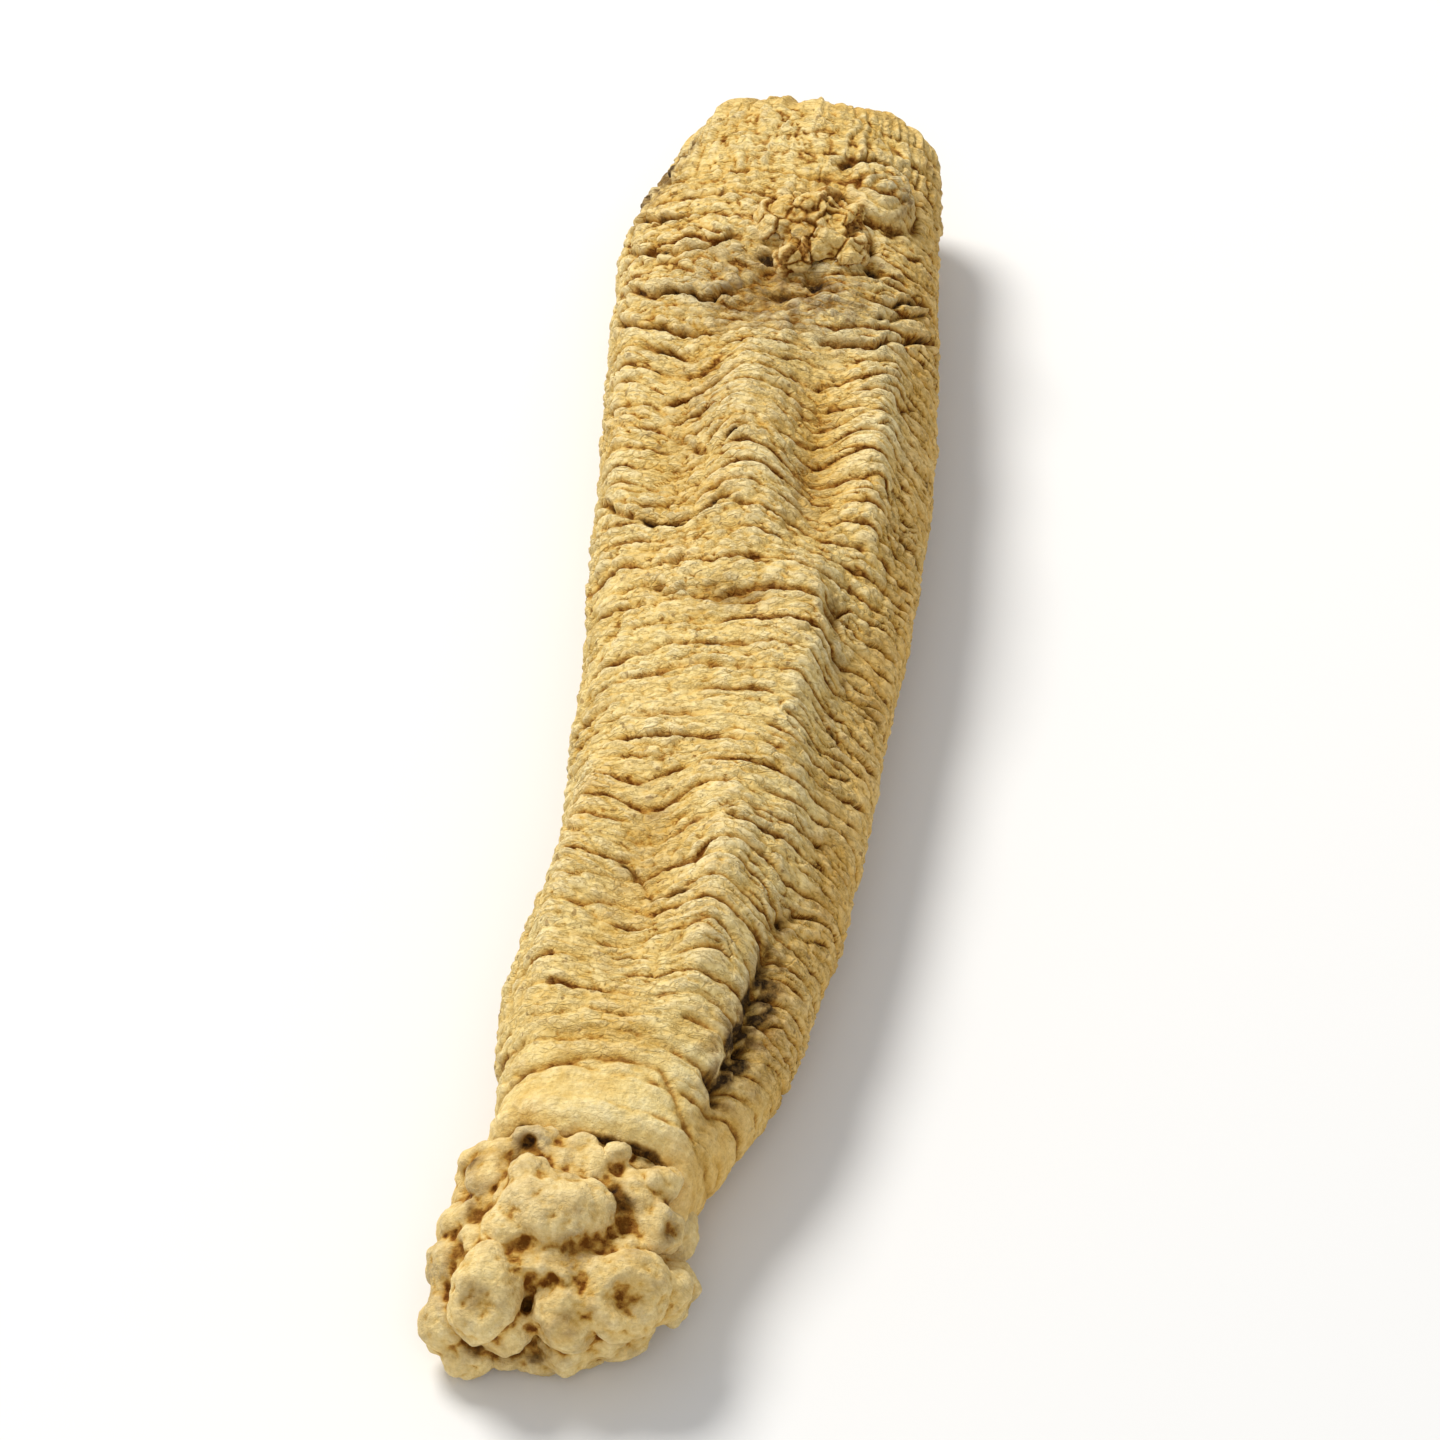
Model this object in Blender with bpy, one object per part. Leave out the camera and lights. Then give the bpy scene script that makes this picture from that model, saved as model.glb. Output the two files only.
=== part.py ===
"""A dried codonopsis root, lying on its flattened underside. Metres, +Z up.

The root lies along Y, its knobby crown towards -Y and its cut end towards +Y.
A place on it is given by two numbers: along, in millimetres from the tip of the
crown, and around, in degrees from its right side (+X), over the top at 90, to its
left side at 180 and the underside at 270.
"""

import math
import random

import bmesh
import bpy
import numpy as np
from mathutils import Vector, noise

MM = 0.001

# Driving sizes in millimetres
LENGTH = 94.0
END_ROUNDING = 2.1
WRINKLE_SPACING = 2.3
WRINKLE_DEPTH = 0.66
WRINKLE_WIDTH = 0.42
CHEVRON = 0.3
FIRST_WRINKLE = 21.0
LAST_WRINKLE = 90.5
CROWN_FLOOR = 5.2
CROWN_MIDDLE = 7.8
SECTION_POWER = 2.3
PERIMETER_RADIUS = 7.6
BOUND_ROLL = 0.8
END_PUCKER = 0.18
PRESSED_BELOW = 0.4
PRESSED_SHARE = 0.8

# The frame's origin is under the middle of the root, given in millimetres from its own start
ORIGIN_SIDE = 1.44
ORIGIN_ALONG = 47.75

# Mesh
COLUMNS = 30
TOP_DENSITY = 0.28
ROLL_ROWS = (0.36, 0.66)
ROUNDING_ROWS = (35, 65, 90)
KNOB_SIDES = 9
KNOB_RINGS = 6
SEED = 11

# Each station: along, side, half width, top, widest level, underside
STATIONS = (
    (2.0, -1.6, 3.9, 7.6, 4.4, 1.0),
    (5.0, -1.4, 5.2, 8.3, 4.6, 0.4),
    (9.0, -0.8, 5.6, 9.1, 4.7, 0.2),
    (12.0, 0.2, 5.8, 9.4, 4.8, 0.3),
    (15.0, 0.9, 6.3, 10.0, 4.9, 0.4),
    (18.0, 1.3, 7.1, 10.4, 5.0, 0.1),
    (21.0, 1.6, 7.8, 10.6, 5.0, -0.2),
    (26.0, 2.0, 8.2, 10.8, 5.1, -0.3),
    (35.0, 3.0, 8.2, 11.0, 5.2, 0.1),
    (45.0, 2.8, 8.6, 11.2, 5.3, 0.3),
    (56.0, 2.4, 9.2, 11.3, 5.4, 0.2),
    (68.0, 1.7, 9.5, 11.5, 5.5, -0.15),
    (78.0, 0.7, 9.4, 11.6, 5.5, -0.3),
    (85.0, 0.2, 9.0, 11.5, 5.5, 0.0),
    (89.0, 0.3, 8.6, 11.0, 5.4, 0.5),
    (92.0, 0.6, 7.9, 10.3, 5.3, 0.9),
    (94.0, 0.8, 7.3, 9.9, 5.2, 1.2),
)

# Lengthwise ridges and furrows: width on the right, width on the left, then
# (along, around, height) from end to end
RIDGES = {
    "upper centre": (
        1.6,
        1.6,
        ((74, 97, 0), (70, 96, 1.2), (60, 93, 1.4), (56, 92, 0.9), (52, 90, 0)),
    ),
    "upper right": (
        1.5,
        1.5,
        ((74, 50, 0), (69, 53, 1.2), (62, 54, 1.3), (57, 48, 0.7), (53, 40, 0)),
    ),
    "upper hollow": (1.6, 1.6, ((73, 76, 0), (65, 76, -1.0), (60, 72, -1.1), (54, 70, 0))),
    "left hollow": (2.2, 2.2, ((76, 118, 0), (68, 120, -0.8), (60, 118, -0.7), (54, 118, 0))),
    "left bank": (1.8, 1.8, ((80, 146, 0), (70, 144, 0.7), (60, 142, 0.7), (50, 144, 0))),
    "scar hollow": (1.8, 1.8, ((80, 86, 0), (77, 90, -1.1), (72, 100, -0.8), (66, 106, 0))),
    "plateau edge": (
        1.0,
        3.0,
        (
            (58, 75, 0),
            (54, 68, 1.2),
            (50, 66, 1.6),
            (44, 70, 1.4),
            (35, 63, 1.1),
            (24, 65, 0.7),
            (17, 60, 0),
        ),
    ),
    "right flank": (
        2.5,
        3.0,
        ((62, 36, 0), (55, 38, -0.8), (45, 40, -1.0), (35, 34, -0.8), (25, 30, 0)),
    ),
    "lower centre": (
        1.4,
        1.4,
        ((42, 84, 0), (36, 86, 1.0), (30, 80, 1.4), (25, 76, 1.3), (18, 76, 0)),
    ),
    "lower left": (
        1.6,
        1.6,
        ((41, 142, 0), (35, 139, 1.0), (30, 135, 1.3), (25, 131, 1.1), (18, 131, 0)),
    ),
    "hollow between": (
        2.0,
        2.0,
        ((39, 112, 0), (33, 106, -1.1), (30, 102, -1.3), (26, 101, -1.1), (19, 98, 0)),
    ),
    "dark furrow": (
        1.2,
        0.7,
        (
            (37, 50, 0),
            (33, 53, -0.9),
            (29, 55, -1.6),
            (25, 54, -2.4),
            (21, 50, -2.3),
            (16, 42, -0.9),
            (13, 38, 0),
        ),
    ),
    "left flank": (
        2.0,
        2.0,
        ((80, 196, 0), (70, 200, -0.8), (52, 194, -0.9), (40, 202, -0.6), (32, 205, 0)),
    ),
    "left shoulder": (2.4, 2.4, ((94, 152, -0.8), (89, 156, -1.4), (83, 160, 0))),
    "under left": (1.6, 1.6, ((66, 232, 0), (54, 226, -0.9), (38, 230, -0.8), (24, 224, 0))),
    "under right": (
        1.6,
        1.6,
        ((84, 318, 0), (70, 312, -0.9), (56, 318, -0.7), (40, 326, -0.9), (26, 320, 0)),
    ),
}

# Rows that close the crown end: share of the width, and how far in front
CROWN_CAP = ((0.0, 3.0), (0.5, 2.7), (0.85, 1.6))
# The cut end, from the bark's curled edge (inset, level) to the wood (share, level)
BARK_EDGE = ((0.4, -0.7), (0.8, -0.7), (1.3, -0.15))
WOOD_FACE = ((0.3, -0.05), (0.0, -0.2))

# Local hollows: along, around, depth, reach along, reach around
HOLLOWS = (
    (53.5, 92, 0.8, 1.0, 1.7),
    (52.0, 57, 0.6, 1.8, 1.0),
    (81.6, 55, 1.2, 1.0, 0.9),
)

# The lines that bound the crown, as (around, along) once round the neck
LIP_EDGE = (
    (0, 11.0),
    (40, 10.8),
    (60, 11.8),
    (80, 12.6),
    (120, 12.8),
    (180, 13.0),
    (270, 12.0),
    (360, 11.0),
)
COLLAR_GROOVE = (
    (0, 13.2),
    (32, 13.2),
    (57, 14.8),
    (72, 16.3),
    (90, 16.8),
    (180, 16.0),
    (270, 15.4),
    (360, 13.2),
)
UPPER_GROOVE = (
    (0, 16.2),
    (40, 16.7),
    (60, 17.5),
    (90, 18.6),
    (180, 18.7),
    (270, 18.0),
    (360, 16.2),
)
# Each with its depth, the share of that left on the right side, and its width
BOUNDS = (
    (LIP_EDGE, 0.9, 0.5, 0.8),
    (COLLAR_GROOVE, 1.2, 0.25, 0.6),
    (UPPER_GROOVE, 0.7, 0.4, 0.5),
)

# How the wrinkles wander together: times round the root, along for one radian, size
DRIFT = ((2, 9, 0.36), (3, 6, 0.26))
# Soft bumps all over: size across, height
BUMPS = ((5.0, 0.22), (2.0, 0.12))

# Crown knobs that the front shows: along, side, level, then the way each faces
# (side, along, up), its half width, half length and half height, and its form
KNOBS = (
    (7.4, -1.9, 8.1, (-0.1, -0.6, 1.0), 3.1, 2.3, 2.2, "lump"),
    (4.2, 2.7, 6.0, (0.35, -1.0, 0.8), 2.5, 2.5, 1.9, "scar"),
    (3.4, -3.9, 5.9, (-0.25, -1.0, 0.8), 2.0, 2.6, 2.0, "dimple"),
    (2.9, -0.4, 5.5, (0.0, -1.0, 0.6), 1.8, 2.0, 1.6, "dimple"),
    (9.2, -5.4, 7.0, (-0.9, 0.0, 0.6), 1.7, 2.3, 1.5, "dimple"),
    (6.2, -5.9, 4.9, (-1.0, -0.4, 0.2), 1.8, 2.3, 1.5, "lump"),
    (3.2, -5.7, 2.8, (-0.8, -0.8, 0.0), 1.8, 2.0, 1.6, "lump"),
    (8.6, 4.1, 7.4, (0.8, -0.4, 0.7), 1.8, 2.3, 1.4, "dimple"),
    (6.0, 1.2, 7.8, (0.1, -0.8, 1.0), 1.5, 1.2, 1.1, "lump"),
    (5.4, -4.6, 6.9, (-0.6, -0.6, 0.9), 1.3, 1.4, 1.1, "lump"),
    (5.0, -2.0, 7.4, (-0.1, -1.0, 0.8), 1.6, 1.4, 1.2, "lump"),
    (4.5, 0.3, 7.2, (0.0, -1.0, 0.8), 1.4, 1.3, 1.1, "lump"),
    (11.4, 1.6, 9.4, (0.2, -0.5, 1.0), 0.9, 0.9, 0.8, "lump"),
    (11.9, -2.2, 9.3, (0.0, -0.5, 1.0), 1.2, 0.9, 0.9, "lump"),
    (9.9, 3.2, 8.8, (0.5, -0.5, 0.8), 1.3, 1.2, 1.0, "lump"),
    (11.0, -4.0, 8.5, (-0.4, -0.4, 0.9), 1.3, 1.3, 0.9, "scar"),
    (10.3, -0.3, 9.1, (0.0, -0.4, 1.0), 1.1, 1.0, 0.8, "lump"),
    (8.9, 1.6, 9.0, (0.3, -0.6, 1.0), 1.1, 1.0, 0.8, "lump"),
    (2.7, -1.7, 2.8, (-0.1, -1.0, 0.1), 1.9, 1.8, 1.5, "lump"),
    (3.0, 1.7, 2.8, (0.2, -1.0, -0.1), 2.0, 1.8, 1.5, "lump"),
    (3.6, -4.0, 1.7, (-0.4, -1.0, -0.3), 1.6, 1.5, 1.3, "lump"),
    (5.6, 4.5, 3.4, (1.0, -0.5, 0.0), 1.9, 1.9, 1.5, "scar"),
)
# The other knobs, set round the hidden sides of the crown by rule: along, first
# and last place around, and how many
HIDDEN_KNOB_ROWS = ((4.4, 205, 335, 5), (7.6, 192, 352, 6), (10.4, 186, 350, 6))

# The warty scar of a side root, built of small knobs: along, around, lift, radius
SCAR_KNOBS = (
    (80.3, 86, -0.3, 2.1),
    (79.4, 74, -0.3, 1.8),
    (80.8, 98, -0.4, 1.8),
    (82.0, 82, -0.4, 1.8),
    (78.4, 90, -0.4, 1.5),
    (84.6, 62, -0.7, 2.6),
    (85.8, 73, -0.6, 2.0),
)


def between(points, at, column):
    """One column of a list of places, read at any point of its first column."""
    table = np.array(points, float)
    order = np.argsort(table[:, 0])
    return np.interp(at, table[order, 0], table[order, column])


def smooth_between(points, at, column):
    """The same, along a curve with no corners at the places."""
    table = np.array(points, float)
    x, y = table[:, 0], table[:, column]
    slope = np.gradient(y, x)
    k = np.clip(np.searchsorted(x, at) - 1, 0, len(x) - 2)
    gap = x[k + 1] - x[k]
    t = np.clip((at - x[k]) / gap, 0, 1)
    rise = y[k] * (1 + 2 * t) * (1 - t) ** 2 + y[k + 1] * t * t * (3 - 2 * t)
    return rise + gap * (slope[k] * t * (1 - t) ** 2 - slope[k + 1] * t * t * (1 - t))


def step(low, high, value):
    t = np.clip((value - low) / (high - low), 0, 1)
    return t * t * (3 - 2 * t)


def unevenness(points, size, seed):
    """Smooth seeded noise from about -1 to 1, whose lumps are size across."""
    offset = Vector((seed * 7.3, seed * 3.1, seed * 5.7))
    flat = points.reshape(-1, 3) / size
    values = [noise.noise(Vector(p) + offset) for p in flat]
    return np.array(values).reshape(points.shape[:-1])


def section(along, around):
    """The plain form of the root, and which way is out, before any ridge."""
    side, width, top, level, under = (smooth_between(STATIONS, along, k) for k in range(1, 6))
    across, up = np.cos(around), np.sin(around)
    power = 2 / SECTION_POWER
    x = np.sign(across) * np.abs(across) ** power
    z = np.sign(up) * np.abs(up) ** power
    height = np.where(up > 0, top - level, level - under)
    out_x = np.sign(x) * np.abs(x) ** (SECTION_POWER - 1) / width
    out_z = np.sign(z) * np.abs(z) ** (SECTION_POWER - 1) / height
    long = np.hypot(out_x, out_z)
    place = np.stack([side + width * x, along, level + height * z], axis=-1)
    return place, np.stack([out_x / long, 0 * long, out_z / long], axis=-1)


def off_angle(around, centre):
    """How far round the skin a place is from centre, in millimetres, with its sign."""
    turn = (np.degrees(around) - centre + 180) % 360 - 180
    return np.radians(turn) * PERIMETER_RADIUS


def ridge_relief(along, around):
    total = np.zeros(np.broadcast(along, around).shape)
    for right, left, line in RIDGES.values():
        off = off_angle(around, between(line, along, 1))
        width = np.where(off > 0, left, right)
        first, last = min(p[0] for p in line), max(p[0] for p in line)
        inside = (along >= first) & (along <= last)
        total += inside * between(line, along, 2) * np.exp(-((off / width) ** 2))
    for at, centre, depth, reach_along, reach_around in HOLLOWS:
        off = off_angle(around, centre)
        spread = ((along - at) / reach_along) ** 2 + (off / reach_around) ** 2
        total -= depth * np.exp(-spread)
    return total


def waviness(along, around, draw):
    """How far a wrinkle wanders from a plane across the root. Neighbours wander alike."""
    drift = sum(size * np.sin(times * around + along / reach) for times, reach, size in DRIFT)
    own = 0
    for times in (1, 2, 4, 5):
        own += draw.uniform(0.03, 0.13) * np.sin(times * around + draw.uniform(0, math.tau))
    return drift + own


def wrinkle_lines(around):
    """(along at each angle, depth, width) of every line across the root, in order."""
    draw = random.Random(SEED)
    degrees = np.degrees(around) % 360
    right = step(0.2, 0.9, np.cos(around))
    lines = []
    for path, depth, left_on_right, width in BOUNDS:
        lines.append((between(path, degrees, 1), depth * (1 - right * (1 - left_on_right)), width))
    along = FIRST_WRINKLE
    while along < LAST_WRINKLE:
        wandering = along + waviness(along, around, draw) + CHEVRON * ridge_relief(along, around)
        fading = 0.75 + 0.4 * np.sin(around * draw.choice((1, 2, 3)) + draw.uniform(0, math.tau))
        depth = WRINKLE_DEPTH * fading * draw.uniform(0.75, 1.1)
        lines.append((wandering, depth, WRINKLE_WIDTH))
        along += WRINKLE_SPACING * draw.uniform(0.85, 1.15)
    return lines


def wrinkle_relief(along, lines):
    """Grooves with narrow bottoms, which leave rounded rolls between them."""
    return sum(-depth / (1 + ((along - line) / width) ** 2) for line, depth, width in lines)


def skin(along, around, lines):
    """The surface of the root between its two ends."""
    place, out = section(along, around)
    relief = ridge_relief(along, around) + wrinkle_relief(along, lines)
    for seed, (size, height) in enumerate(BUMPS):
        relief += height * unevenness(place, size, seed + 1)
    # The wrinkles are pressed flat where the root lay while it dried
    relief *= 1 - PRESSED_SHARE * step(PRESSED_BELOW, -0.1, place[..., 2])
    return place + relief[..., None] * out


def row_places(around, lines):
    """Where each row of the mesh lies along the root, following the wrinkle lines."""
    flat = np.ones_like(around)
    lip, collar, upper = (line for line, _, _ in lines[:3])
    rows = [CROWN_FLOOR * flat, CROWN_MIDDLE * flat]
    for line in (lip, collar):
        rows += [line - BOUND_ROLL, line, line + BOUND_ROLL]
    rows += [upper - BOUND_ROLL, upper]
    rings = [upper] + [line for line, _, _ in lines[3:]]
    for here, following in zip(rings, rings[1:]):
        rows += [here + share * (following - here) for share in ROLL_ROWS]
        rows.append(following)
    rows.append((rings[-1] + LENGTH - END_ROUNDING) / 2)
    return rows


def crown_cap(around, lines):
    """Rows that close the root inside the crown, from its tip outwards."""
    rim = skin(CROWN_FLOOR * np.ones_like(around), around, lines)
    middle = rim.mean(axis=0)
    rows = []
    for share, back in CROWN_CAP:
        row = middle + share * (rim - middle)
        row[:, 1] -= back
        rows.append(row)
    return rows


def cut_end(around, lines):
    """Rows over the rim of the cut end and across its face to the middle.

    The bark has curled over the edge of the cut and shrunk back from the wood,
    which stands a little proud inside it.
    """
    start = LENGTH - END_ROUNDING
    rim = skin(start * np.ones_like(around), around, lines)
    middle = rim.mean(axis=0)
    pucker = END_PUCKER * (np.sin(9 * around) + 0.6 * np.sin(14 * around + 1))
    reach = np.hypot(*(rim - middle)[:, [0, 2]].T)
    rows = []

    def add_row(share, level):
        row = middle + np.reshape(share, (-1, 1)) * (rim - middle)
        row[:, 1] = level
        rows.append(row)

    for degrees in ROUNDING_ROWS:
        turn = math.radians(degrees)
        over = start + (END_ROUNDING + pucker) * math.sin(turn)
        add_row(1 - END_ROUNDING * (1 - math.cos(turn)) / reach, over)
    for inset, level in BARK_EDGE:
        add_row(1 - (END_ROUNDING + inset) / reach, LENGTH + level)
    for share, level in WOOD_FACE:
        add_row(np.full_like(reach, share), LENGTH + level)
    return rows


def to_frame(point):
    """Metres in the part's own frame, from millimetres on the root."""
    return Vector((point[0] - ORIGIN_SIDE, point[1] - ORIGIN_ALONG, point[2])) * MM


def add_object(name, mesh, collection):
    data = bpy.data.meshes.new(name)
    mesh.to_mesh(data)
    mesh.free()
    made = bpy.data.objects.new(name, data)
    collection.objects.link(made)
    return made


def build_root(collection, around, lines):
    """A sphere whose rings are drawn out along the root, one for each row."""
    rows = crown_cap(around, lines)
    rows += [skin(at, around, lines) for at in row_places(around, lines)]
    rows += cut_end(around, lines)
    mesh = bmesh.new()
    bmesh.ops.create_uvsphere(mesh, u_segments=COLUMNS, v_segments=len(rows) - 1, radius=1)
    for vertex in mesh.verts:
        ring = round(math.acos(max(-1, min(1, vertex.co.z))) / math.pi * (len(rows) - 1))
        column = round(math.atan2(vertex.co.y, vertex.co.x) / math.tau * COLUMNS) % COLUMNS
        vertex.co = to_frame(rows[ring][column])
    return add_object("codonopsis_root", mesh, collection)


def knob_form(point, form):
    """Shapes the outer half of a unit ball as a lump, a dimpled lump or a stem scar."""
    radius = math.hypot(point.x, point.y)
    if point.z <= 0 or form == "lump":
        return point
    if form == "dimple":
        point.z -= 0.35 * math.exp(-((radius / 0.4) ** 2))
        return point
    point.z = 0.75 * point.z ** 0.5 - 0.5 * math.exp(-((radius / 0.35) ** 2))
    return point


def add_knob(name, centre, facing, sizes, form, draw, collection):
    """One knob, sunk in the root, as a ball turned to face outwards."""
    mesh = bmesh.new()
    bmesh.ops.create_uvsphere(mesh, u_segments=KNOB_SIDES, v_segments=KNOB_RINGS, radius=1)
    turn = Vector(facing).to_track_quat("Z", "Y").to_matrix().to_4x4()
    for vertex in mesh.verts:
        shaped = knob_form(vertex.co.copy(), form) * draw.uniform(0.93, 1.07)
        stretched = Vector((shaped.x * sizes[0], shaped.y * sizes[1], shaped.z * sizes[2]))
        vertex.co = to_frame(Vector(centre) + turn @ stretched)
    return add_object(name, mesh, collection)


def add_crown_knobs(collection):
    draw = random.Random(SEED + 1)
    for k, (along, side, level, facing, wide, long, high, form) in enumerate(KNOBS):
        add_knob(f"knob {k}", (side, along, level), facing, (wide, long, high), form, draw, collection)
    for row, (along, first, last, count) in enumerate(HIDDEN_KNOB_ROWS):
        for k in range(count):
            degrees = first + (last - first) * (k + draw.uniform(-0.25, 0.25)) / (count - 1)
            at = along + draw.uniform(-0.6, 0.6)
            place, out = section(np.array(at), np.array(math.radians(degrees)))
            size = draw.uniform(1.5, 2.2)
            centre = place - 0.4 * size * out
            form = draw.choice(("lump", "lump", "dimple", "scar"))
            facing = (out[0], -0.25, out[2])
            sizes = (size, size * draw.uniform(0.9, 1.2), size * 0.85)
            add_knob(f"hidden knob {row} {k}", centre, facing, sizes, form, draw, collection)


def add_scar_knobs(collection, lines):
    draw = random.Random(SEED + 2)
    for k, (along, degrees, lift, radius) in enumerate(SCAR_KNOBS):
        around = np.array(math.radians(degrees))
        place = skin(np.array(along), around, [(0 * around, 0 * around, 1)])
        out = section(np.array(along), around)[1]
        sizes = (radius, radius * 0.85, radius * 0.6)
        add_knob(f"scar knob {k}", place + lift * out, out, sizes, "lump", draw, collection)


def fuse(root, knobs):
    """Joins every knob to the root in one union, then removes the knobs."""
    union = root.modifiers.new("knobs", "BOOLEAN")
    union.operation = "UNION"
    union.operand_type = "COLLECTION"
    union.collection = knobs
    union.solver = "MANIFOLD"
    apply_modifiers(root)
    for knob in list(knobs.objects):
        bpy.data.objects.remove(knob)
    bpy.data.collections.remove(knobs)


def apply_modifiers(obj):
    bpy.context.view_layer.update()
    graph = bpy.context.evaluated_depsgraph_get()
    applied = bpy.data.meshes.new_from_object(obj.evaluated_get(graph))
    obj.modifiers.clear()
    obj.data = applied


def keep_outer_shell(root):
    """Fills the small hollows that knobs seal between them, by dropping their walls."""
    mesh = bmesh.new()
    mesh.from_mesh(root.data)
    left = set(mesh.verts)
    shells = []
    while left:
        shell, edge = set(), [left.pop()]
        while edge:
            vertex = edge.pop()
            shell.add(vertex)
            near = {e.other_vert(vertex) for e in vertex.link_edges} & left
            left -= near
            edge.extend(near)
        shells.append(shell)
    outer = max(shells, key=len)
    bmesh.ops.delete(mesh, geom=[v for v in mesh.verts if v not in outer], context="VERTS")
    mesh.to_mesh(root.data)
    mesh.free()


def flatten_underside(root, cutters):
    """Cuts the root off level at Z = 0, where it rests."""
    mesh = bmesh.new()
    bmesh.ops.create_cube(mesh, size=1)
    deep = 20 * MM
    wide, long = 60 * MM, 2 * LENGTH * MM
    for vertex in mesh.verts:
        vertex.co = Vector((vertex.co.x * wide, vertex.co.y * long, (vertex.co.z - 0.5) * deep))
    ground = add_object("ground cutter", mesh, cutters)
    ground.hide_render = True
    ground.display_type = "WIRE"
    cut = root.modifiers.new("flat underside", "BOOLEAN")
    cut.operation = "DIFFERENCE"
    cut.solver = "MANIFOLD"
    cut.object = ground
    apply_modifiers(root)
    bpy.data.objects.remove(ground)


def dried_root_material():
    material = bpy.data.materials.new("dried root")
    material.use_nodes = True
    shader = material.node_tree.nodes["Principled BSDF"]
    shader.inputs["Base Color"].default_value = (0.62, 0.41, 0.17, 1)
    shader.inputs["Roughness"].default_value = 0.8
    shader.inputs["Metallic"].default_value = 0.0
    return material


def new_collection(name):
    made = bpy.data.collections.new(name)
    bpy.context.scene.collection.children.link(made)
    return made


def main():
    for obj in list(bpy.data.objects):
        bpy.data.objects.remove(obj)
    parts = new_collection("Codonopsis root")
    knobs = new_collection("Crown and scar knobs")
    cutters = new_collection("Cutters")
    share = np.arange(COLUMNS) / COLUMNS * math.tau
    around = share + TOP_DENSITY * np.cos(share)
    lines = wrinkle_lines(around)
    root = build_root(parts, around, lines)
    add_crown_knobs(knobs)
    add_scar_knobs(knobs, lines)
    fuse(root, knobs)
    flatten_underside(root, cutters)
    keep_outer_shell(root)
    root.data.materials.clear()
    root.data.materials.append(dried_root_material())


main()
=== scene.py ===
"""A dried codonopsis root: its wrinkled body, its knobby crown and its side-root scar.

Lengths are in millimetres until to_frame() and MM turn them into metres. A place on the
root is given by along, from the tip of the crown, and around, from its right side over
the top. Both are the same as in the part's solid, and so are the main sizes.
"""

import itertools
import math
import random

import bmesh
import bpy
import numpy as np
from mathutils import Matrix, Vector


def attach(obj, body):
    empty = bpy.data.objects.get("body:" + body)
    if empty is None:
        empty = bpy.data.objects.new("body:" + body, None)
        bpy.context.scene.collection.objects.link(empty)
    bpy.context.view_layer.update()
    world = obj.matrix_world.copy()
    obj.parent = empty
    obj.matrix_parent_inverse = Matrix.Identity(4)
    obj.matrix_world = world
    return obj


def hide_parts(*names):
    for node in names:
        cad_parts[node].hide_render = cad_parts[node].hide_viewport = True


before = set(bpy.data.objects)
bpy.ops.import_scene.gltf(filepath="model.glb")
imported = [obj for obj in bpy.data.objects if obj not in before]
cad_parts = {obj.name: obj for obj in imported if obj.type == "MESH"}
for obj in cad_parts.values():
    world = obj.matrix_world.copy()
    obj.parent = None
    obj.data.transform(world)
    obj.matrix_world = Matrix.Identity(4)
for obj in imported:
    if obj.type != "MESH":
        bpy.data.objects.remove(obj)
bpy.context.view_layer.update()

MM = 0.001
NODE = "codonopsis_root"
SLOT = "dried_root"

# The root's form, as in the part's solid
LENGTH = 94.0
END_ROUNDING = 2.1
SECTION_POWER = 2.3
PERIMETER_RADIUS = 7.6
ORIGIN_SIDE = 1.44
ORIGIN_ALONG = 47.75
SEED = 11

# Each station: along, side, half width, top, widest level, underside
STATIONS = (
    (2.0, -1.6, 3.9, 7.6, 4.4, 1.0),
    (5.0, -1.4, 5.2, 8.3, 4.6, 0.4),
    (9.0, -0.8, 5.6, 9.1, 4.7, 0.2),
    (12.0, 0.2, 5.8, 9.4, 4.8, 0.3),
    (15.0, 0.9, 6.3, 10.0, 4.9, 0.4),
    (18.0, 1.3, 7.1, 10.4, 5.0, 0.1),
    (21.0, 1.6, 7.8, 10.6, 5.0, -0.2),
    (26.0, 2.0, 8.2, 10.8, 5.1, -0.3),
    (35.0, 3.0, 8.2, 11.0, 5.2, 0.1),
    (45.0, 2.8, 8.6, 11.2, 5.3, 0.3),
    (56.0, 2.4, 9.2, 11.3, 5.4, 0.2),
    (68.0, 1.7, 9.5, 11.5, 5.5, -0.15),
    (78.0, 0.7, 9.4, 11.6, 5.5, -0.3),
    (85.0, 0.2, 9.0, 11.5, 5.5, 0.0),
    (89.0, 0.3, 8.6, 11.0, 5.4, 0.5),
    (92.0, 0.6, 7.9, 10.3, 5.3, 0.9),
    (94.0, 0.8, 7.3, 9.9, 5.2, 1.2),
)

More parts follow.
